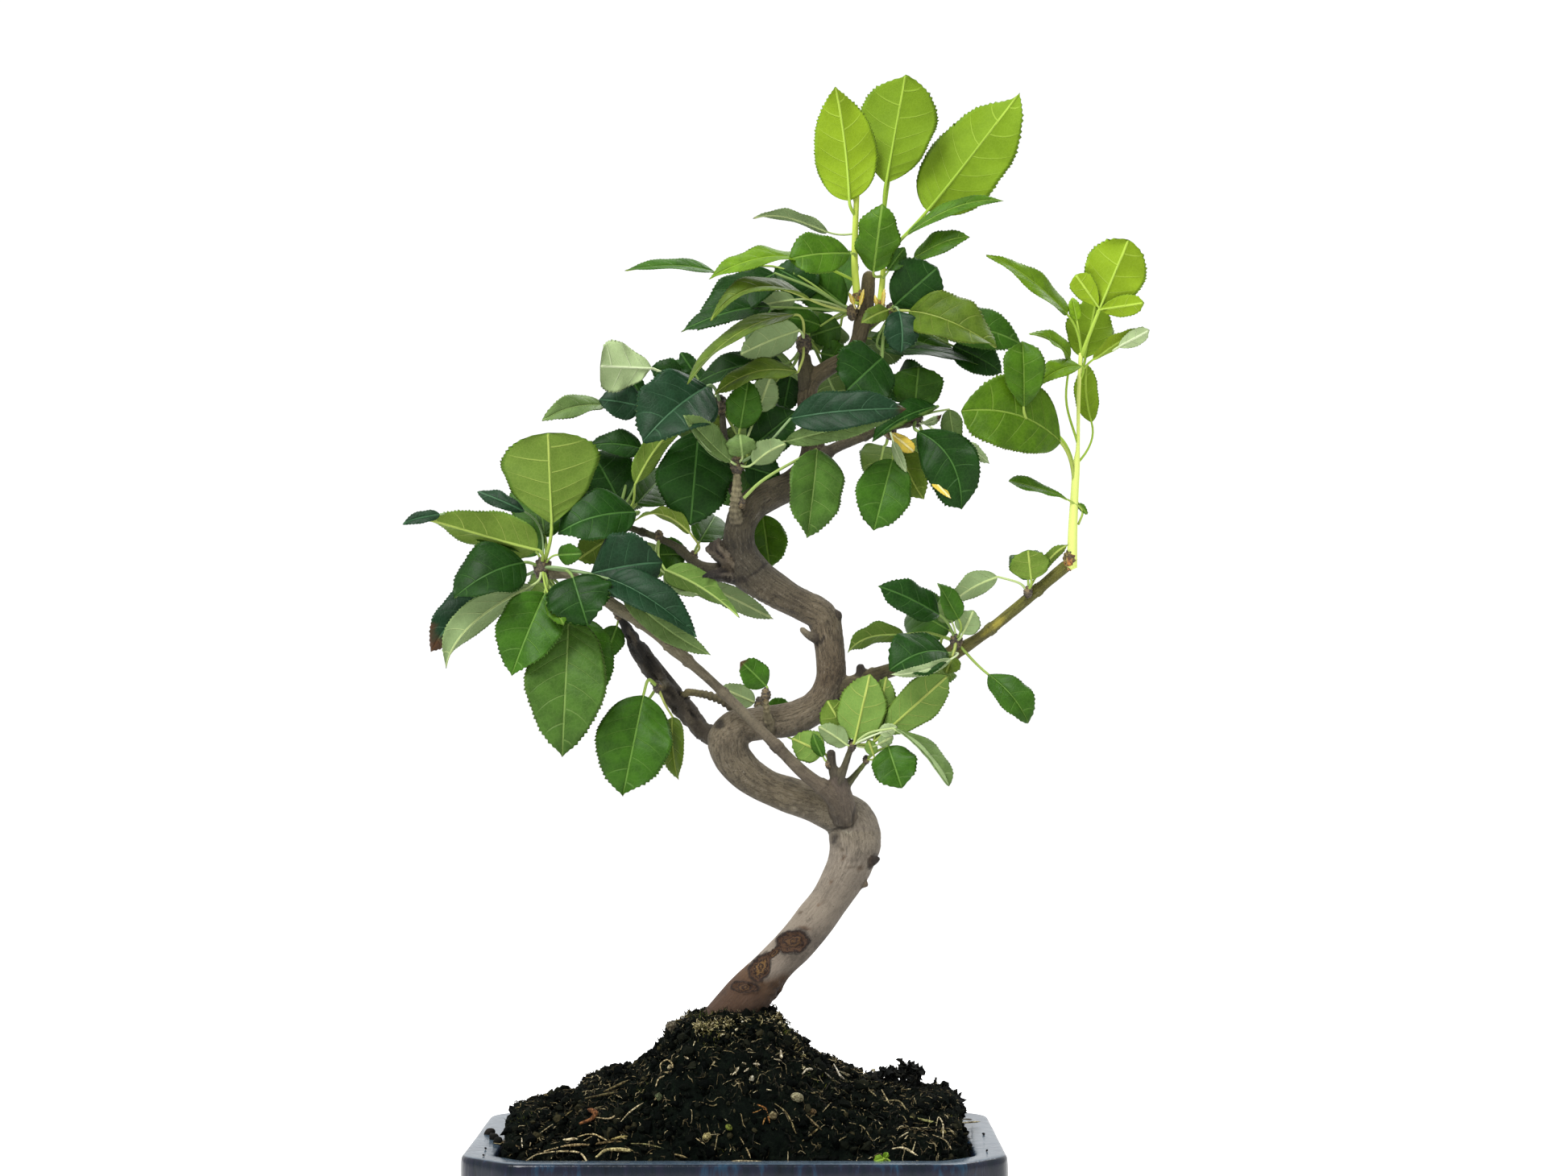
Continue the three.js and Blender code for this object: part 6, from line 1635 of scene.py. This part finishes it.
STRAWS = [
    [0.42, "e6d6a6", (-82.5, 51.2), (-76.9, 53.9), (-69.2, 54.8), (-62.3, 54.4), (-57.9, 49.8)],
    [0.5, "c9b587", (-75.5, 54.8), (-66.7, 57), (-59, 57.6)],
    [0.45, "8f7c52", (-66.7, 56.8), (-59.4, 57.2), (-52.1, 58.2), (-44.8, 58.7)],
    [0.75, "e9dab0", (-68, 59.3), (-62.3, 59.6)],
    [0.4, "dcc894", (-62.3, 60.5), (-57, 61.6), (-50.6, 59)],
    [0.35, "d8c79a", (-60, 59), (-56, 60.6), (-53, 57.5)],
    [0.8, "b3a468", (-49.2, 59.5), (-42.8, 60.7)],
    [0.85, "dccf94", (-55, 52.6), (-50.6, 55.4), (-45.5, 55.4), (-40.5, 54.9)],
    [0.3, "efe3c4", (-84.3, 60), (-84, 56.3)],
    [0.3, "dccba0", (-80.1, 61), (-81.1, 56.8)],
    [0.5, "6b5a38", (-91.6, 58.2), (-85.2, 56.5)],
    [1.1, "8a5a34", (-61.6, 65.6), (-57, 67.5), (-55.4, 69.8), (-58.4, 71.2)],
    [0.4, "c8b68c", (-55.2, 68), (-50, 67.6), (-46.3, 69.4)],
    [0.35, "d6c9a0", (-45.4, 66.4), (-42.1, 70), (-36.6, 73.8)],
    [0.35, "8e8a5c", (-42.8, 57.9), (-36, 57.6), (-29.7, 56.3)],
    [0.4, "9c8c60", (-34, 54), (-24.5, 53.6), (-19.4, 52.3)],
    [0.5, "6f6440", (-52.3, 78), (-42.1, 82.7)],
    [0.6, "5e5636", (-59.6, 75.4), (-46.5, 78)],
    [0.4, "cdbd92", (-31.8, 80), (-30.6, 83), (-28.4, 84.2)],
    [0.4, "b8aa80", (-33.5, 72.6), (-31, 76.6)],
    [0.4, "c2b184", (-29.6, 86), (-30, 88.6), (-27.6, 90.4), (-25.2, 88.4), (-26, 85.8), (-28.6, 85.6)],
    [0.3, "d3c49b", (-21.9, 88.8), (-21.2, 85.6)],
    [0.45, "e0d2b0", (-20.6, 91.8), (-18.9, 90.8)],
    [0.4, "c9bb90", (-10.6, 86.8), (-8.4, 90.2)],
    [0.3, "d8cba4", (-2.6, 84.6), (-0.2, 87.4)],
    [0.4, "94875c", (14.9, 73.4), (19.3, 69.9), (23.3, 61.7)],
    [0.35, "b9a87c", (1.2, 60.4), (3.8, 56), (5.4, 52.2)],
    [0.4, "c4b58c", (-6.3, 49.6), (-1, 51), (4, 51), (13.5, 50.4)],
    [0.4, "a89a68", (25.7, 58.8), (32.7, 64.3)],
    [0.4, "8d7d58", (27.2, 69), (33.3, 63)],
    [0.3, "b8ac84", (33.7, 70.2), (37, 73.9)],
    [0.5, "a8743c", (8, 73), (11.3, 71.4), (12.9, 66)],
    [0.4, "b98a4c", (6.2, 69.8), (11.6, 71), (10.2, 65.2)],
    [0.3, "c9bd96", (6.4, 77.6), (9.6, 79), (13.6, 78.6)],
    [0.3, "bdb28a", (4.2, 93.5), (7.7, 93.1), (9.1, 92.6)],
    [0.35, "d8ccb0", (5.7, 91.5), (7.7, 93.1)],
    [0.7, "e6dcc0", (17.2, 94), (17.5, 91)],
    [0.4, "b8ae90", (14.6, 90.9), (17.7, 90)],
    [0.5, "d9cfb4", (5.7, 89.1), (9.1, 88.6)],
    [0.5, "dcd2b4", (-1.8, 84.5), (-0.6, 85.6), (0.9, 87.8)],
    [0.45, "cfc5a8", (2.8, 85.8), (4.8, 87.3)],
    [0.4, "c4ba98", (2.2, 89.4), (3.8, 88.7)],
    [0.5, "e2d9c0", (25.6, 84.8), (27.4, 86.7), (30, 86.7)],
    [0.3, "8f8a78", (31.8, 87.3), (34.4, 85.6), (37.3, 83.1)],
    [0.45, "e8e2cf", (38, 88.9), (39.4, 86.4), (40.6, 84.2), (42.4, 82.7)],
    [0.35, "a69c80", (40.2, 86), (42.6, 85.2), (45.3, 83.8)],
    [0.6, "cfc7a2", (-1.8, 100.6), (0.4, 102.8)],
    [0.6, "e4e0c8", (2, 105.8), (2.6, 104.6)],
    [0.3, "cbbf98", (13.6, 91.4), (17.2, 93.4)],
    [0.3, "a9a07a", (40, 86.2), (44.4, 83.6)],
    [0.35, "8e8560", (49, 81.9), (52, 78.6), (54.8, 76.2)],
    [0.35, "bcae84", (56.8, 78.8), (59.9, 73.2)],
    [0.35, "a2976c", (57.7, 74.5), (63.5, 74.4), (66.4, 71)],
    [0.6, "9a9a62", (67.9, 68.3), (73.7, 66.9), (78.4, 65.8)],
    [0.32, "dcd0aa", (78.2, 64.7), (79.1, 68.1), (80.6, 66), (80.8, 60)],
    [0.35, "cfc096", (76.7, 61.3), (81.8, 59), (84.2, 55.4)],
    [0.42, "e8dcb8", (84, 65), (89.5, 66), (95.4, 66.4)],
    [0.5, "e4d7ae", (60.8, 55.8), (64.8, 56.2), (70.8, 53.2)],
    [0.3, "c9bb92", (64.8, 57.6), (65.8, 54.4)],
    [0.3, "b2a780", (70, 58.6), (68.6, 54)],
    [0.3, "d8cda8", (63.6, 60.2), (67.4, 62.4)],
    [0.4, "5c5238", (88.2, 67.4), (92.2, 67.2)],
    [0.3, "9c9068", (44, 66), (49, 64.6), (52, 60.8)],
    [0.3, "8a7f58", (-14, 74), (-9, 72.6), (-5.4, 75)],
    [0.3, "a1966c", (38, 58), (43, 60.6)],
    [0.35, "bfae82", (-17, 60.6), (-12.6, 57.6)],
    [0.3, "b5a981", (-77, 62), (-72, 65.4)],
    [0.35, "8f8050", (-70, 66.6), (-64.4, 70.8)],
]
straws = []
for thick, code, *places in STRAWS:
    spine = through(laid(places, 0.9 + thick), np.linspace(0, len(places) - 1, 6 * len(places)))
    radius = 1.2 * thick * np.linspace(0.4, 1, len(spine)).clip(0, 0.8)
    radius[-3:] *= (0.8, 0.55, 0.25)
    straw_points, straw_faces = tubes(spine[None], radius[None], 6)
    straws.append((straw_points, straw_faces, alike(len(straw_points), {"tone": paint(code)}), 0))
fixed(dressed("straws", straws, chaff), "earth")

# The fibres. Fine roots and broken stems from 1 to 11 mm long that lie everywhere on the mound: dead
# plant fibre, each an arc that follows the skin of the earth and lifts off it a little.
FIBRES = 3400


def strewn(name, points, faces, tones):
    """One piece of many alike things that lie about, with a paint for each thing."""
    tones = np.repeat(tones, len(points) // len(tones), 0)
    return dressed(name, [(points, faces, {"tone": tones}, 0)], chaff)


along = np.linspace(-1, 1, 6)
length = np.exp(random.normal(1.15, 0.5, FIBRES)).clip(1.2, 11)[:, None]
heading = random.uniform(0, 2 * np.pi, FIBRES)[:, None]
heading = heading + random.normal(0, 0.5, (FIBRES, 1)) * along
step = np.stack([np.cos(heading), np.sin(heading)], -1) * length[..., None] / len(along)
path = on_mound(FIBRES, 0.97)[:, None, :2] + np.cumsum(step, 1)
rise = random.uniform(0.2, 1.1, (FIBRES, 1))
rise = rise + random.normal(0, 0.35, (FIBRES, 1)) * along
height = soil_skin(path[..., 0], path[..., 1])
height = 0.5 * height + 0.5 * height.mean(1, keepdims=True) + rise
path = np.concatenate([path, np.minimum(height, height.min(1, keepdims=True) + 5)[..., None]], -1)
thick = random.uniform(0.1, 0.26, (FIBRES, 1)) * np.array([0.5, 0.9, 1, 1, 0.8, 0.4])
fibre_points, fibre_faces = tubes(path, thick, 3)
fibre_tone = hued(FIBRES, "10130c", "22241a", "3a3522", "6a5e3e", "a3956a", "d8caa0")
fixed(strewn("root_fibres", fibre_points, fibre_faces, fibre_tone), "earth")

# The collar. Short pale stems of dried moss and chips of bark that stand round the foot of the trunk
# and down the slope beside it, rooted in the earth and leaning every way.
COLLAR = 420
foot_u = np.interp(random.uniform(0, 1, COLLAR), (0, 0.62, 0.72, 1), (-17, -1, 15, 27))
foot_v = np.interp(foot_u, (-17, -5, 4, 12, 17, 21, 27), (104, 105.5, 107, 109, 107, 99, 90))
foot_v = foot_v - random.exponential(1.3, COLLAR)
start = laid(np.stack([foot_u, foot_v], 1), 0.5)
stray = unit(random.normal(size=(COLLAR, 3)) + (0, -0.4, 0.5)) * random.uniform(0.8, 2.6, (COLLAR, 1))
bow = random.normal(0, 0.25, (COLLAR, 3))
t = np.linspace(0, 1, 4)[:, None]
path = start[:, None] + stray[:, None] * t + bow[:, None] * 4 * t * (1 - t)
thick = random.uniform(0.12, 0.34, (COLLAR, 1)) * np.array([0.8, 1, 1, 0.5])
collar_points, collar_faces = tubes(path, thick, 5)
collar_tone = hued(COLLAR, "3a3a1c", "77703c", "b3a974", "ded3a4", "e6deba")
fixed(strewn("collar_moss", collar_points, collar_faces, collar_tone), "earth")

# The moss. Pointed leaflets a millimetre or two long that stand out of the damp earth, dark nearly
# everywhere and bright green in a few cushions. Each cushion is (u, v, radius).
MOSS = 9000
CUSHIONS = [
    (-10.5, 99, 5), (-13, 108, 6), (-84, 70, 5), (-36, 77, 4), (-5, 54, 4), (33, 83, 5),
    (-3, 64, 2.5), (85, 68, 3), (20, 101, 4), (7, 84, 3),
]
stand = on_mound(MOSS, 0.985)
stand[:, 2] = soil_skin(stand[:, 0], stand[:, 1]) + random.uniform(-0.3, 0.6, MOSS)
bright = np.zeros(MOSS)
for u, v, size in CUSHIONS:
    centre = laid([(u, v)])[0]
    near = np.exp(-((np.linalg.norm(stand - centre, axis=1) / size) ** 2))
    bright = np.maximum(bright, near)
lean = unit(random.normal(0, 0.55, (MOSS, 3)) + (0, 0, 1) + 0.9 * stand * (0.01, 0.016, 0))
tall = random.uniform(0.8, 2.2, MOSS)[:, None] * (1 + 0.5 * bright[:, None])
aside = unit(np.cross(lean, random.normal(size=(MOSS, 3))))
behind = np.cross(lean, aside)
broad = random.uniform(0.16, 0.34, MOSS)[:, None]
corners = [stand + broad * (math.cos(k) * aside + math.sin(k) * behind) for k in (0, 2.1, 4.2)]
leaflets = np.stack([*corners, stand + tall * lean], 1).reshape(-1, 3)
leaflet_faces = copied([np.array([[0, 1, 3], [1, 2, 3], [2, 0, 3], [0, 2, 1]])], MOSS, 4)
moss_tone = hued(MOSS, "070c08", "0d150c", "18200f", "272f18")
lush = hued(MOSS, "2c3d10", "5d6d18", "8c8f26")
moss_tone = moss_tone + (bright * random.uniform(0.2, 1, MOSS))[:, None] * (lush - moss_tone)
moss = strewn("moss", leaflets, leaflet_faces, moss_tone)
moss.data.polygons.foreach_set("use_smooth", np.zeros(len(moss.data.polygons), bool))
fixed(moss, "earth")

# The liverwort. A tuft of dark frilled lobes on short stems at the right of the mound, leathery when
# damp, that grows out of the earth. Each place is (u, v, d).
ROUND_RINGS = 7
ROUND_SIDES = 15
ROUND_POINTS = ROUND_RINGS * ROUND_SIDES + 2
FLAPS = 7


def rounds(places, sizes, flat, frill):
    """Closed rounds, each a grid of u round the section and v round the form: r = sin(pi u), height
    = flat cos(pi u), notched by sin(5v) and ruffled by r^2 sin(3v), then turned and moved."""
    count = len(places)
    rise = np.linspace(0, np.pi, ROUND_RINGS + 2)[1:-1, None]
    turn = np.linspace(0, 2 * np.pi, ROUND_SIDES, endpoint=False)
    phase = random.uniform(0, 6.28, (4, count, 1, 1))
    notch = 1 + frill * (0.3 * np.sin(5 * turn + phase[0]) + 0.22 * np.sin(3 * turn + phase[1]))
    across = np.sin(rise) * notch
    height = flat * np.cos(rise) + frill * 0.5 * across**2 * np.sin(3 * turn + phase[2])
    height = height + frill * 0.25 * across * np.sin(2 * turn + phase[3])
    ball = np.stack([across * np.cos(turn), across * np.sin(turn), height], -1).reshape(count, -1, 3)
    ends = np.tile([[0, 0, flat], [0, 0, -flat]], (count, 1, 1))
    ball = np.concatenate([ball, ends], 1) * sizes[:, None, None]
    points = np.einsum("nij,nkj->nki", turned(count), ball) + places[:, None]
    faces = copied(closed_grid(ROUND_RINGS, ROUND_SIDES, flip=True), count, ROUND_POINTS)
    return points.reshape(-1, 3), faces


FRILLS = [
    (55.7, 82.8, 3), (58.1, 85.6, 3), (60.8, 84, 3), (61, 80, 2), (64.2, 88, 2),
    (64.8, 84.8, 2), (66.6, 81.4, 2), (69.6, 88, 2), (71, 85.2, 2), (69, 83, 2),
    (80, 79.6, 1), (82.6, 77.6, 1), (85, 74.6, 0), (86.6, 71.4, -2), (77, 77, 1),
    (74, 78, 1),
]
tops = seen(FRILLS)
frill_parts = []
foot = tops + (0, 0, -9)
foot[:, :2] = 0.7 * foot[:, :2] + 0.3 * tops[:, :2].mean(0)
stalks = foot[:, None] + (tops - foot)[:, None] * np.linspace(0, 1, 5)[:, None]
points, faces = tubes(stalks, np.tile([1.5, 1.3, 1.1, 1, 0.7], (len(tops), 1)), 7)
frill_parts.append((points, faces, alike(len(points), {"tone": paint("080b09")}), 0))
flaps = np.repeat(tops, FLAPS, 0) + random.normal(0, 1.2, (FLAPS * len(tops), 3))
points, faces = rounds(flaps, random.uniform(1.1, 2.4, len(flaps)), 0.16, 1)
tone = np.repeat(hued(len(flaps), "060908", "0b100d", "151a14", "2a281f"), ROUND_POINTS, 0)
frill_parts.append((points, faces, {"tone": tone}, 0))
fixed(dressed("liverwort", frill_parts, chaff), "earth")

# The pebbles. Small stones, seed husks and chips that lie on the earth and the rim, with the rotted
# stump of a cut shoot behind them at the left. Each pebble is (u, v, radius, paint).
PEBBLES = [
    (23.6, 75.8, 2.5, "a9a482"),
    (29.6, 69.9, 1.9, "75603f"),
    (14.2, 68.8, 1.6, "8e8360"),
    (-11.7, 60.6, 1.9, "b3a873"),
    (-30.6, 76, 1.6, "5f6a48"),
    (5.9, 83.2, 1.1, "cfcbb4"),
    (-26.4, 87.6, 1.1, "b3a884"),
    (-3.2, 64.2, 1.5, "6f7a2c"),
    (81, 62.4, 1.2, "8f8552"),
    (53.6, 86.4, 0.8, "a7a289"),
    (-98.4, 56, 0.5, "14161c"),
    (-99.2, 53.4, 0.45, "14161c"),
    (96.7, 61.6, 0.6, "14161c"),
    (98, 55.2, 0.5, "1a1d24"),
    (91.8, 57.4, 0.6, "23201a"),
    (-96.9, 62, 2.4, "1c1710"),
    (-95, 60, 2.2, "16140e"),
    (-93.5, 58.6, 2, "12120d"),
]
places = np.array([pebble[:3] for pebble in PEBBLES])
points, faces = rounds(laid(places[:, :2], 0.4), places[:, 2], 0.75, 0.22)
tone = np.repeat([paint(pebble[3]) for pebble in PEBBLES], ROUND_POINTS, 0)
pebbles = [(points, faces, {"tone": tone}, 0)]
stump = seen([(-24.6, 97, -6), (-25, 101, -6), (-26.2, 104.6, -6)])
points, faces = tubes(through(stump, np.linspace(0, 2, 9))[None], np.linspace(2.6, 2.1, 9)[None], 14)
pebbles.append((points, faces, alike(len(points), {"tone": paint("6b6452")}), 0))
fixed(dressed("pebbles", pebbles, chaff), "earth")

# The seedling. A young plant with two bright leaves, which has sprouted from the earth by the pot's
# front wall.
sprout_depth = laid([(56, 52.5)], 2.4)[0, 1]
sprout = [60.4, 50.4, sprout_depth + 1]
SEED_LEAVES = [
    [57.6, 52, sprout_depth, 53.6, 50.8, sprout_depth, 3.8, 15, 0.08, 6, "sun", {"root": sprout}],
    [57.6, 52.4, sprout_depth, 59.2, 54.4, sprout_depth, 2.2, 15, 0.1, 6, "lime", {"root": sprout}],
]
seedling = [part for row in SEED_LEAVES for part in leaf_parts(row, None)]
fixed(dressed("seedling", seedling, young_leaf), "young_leaf")
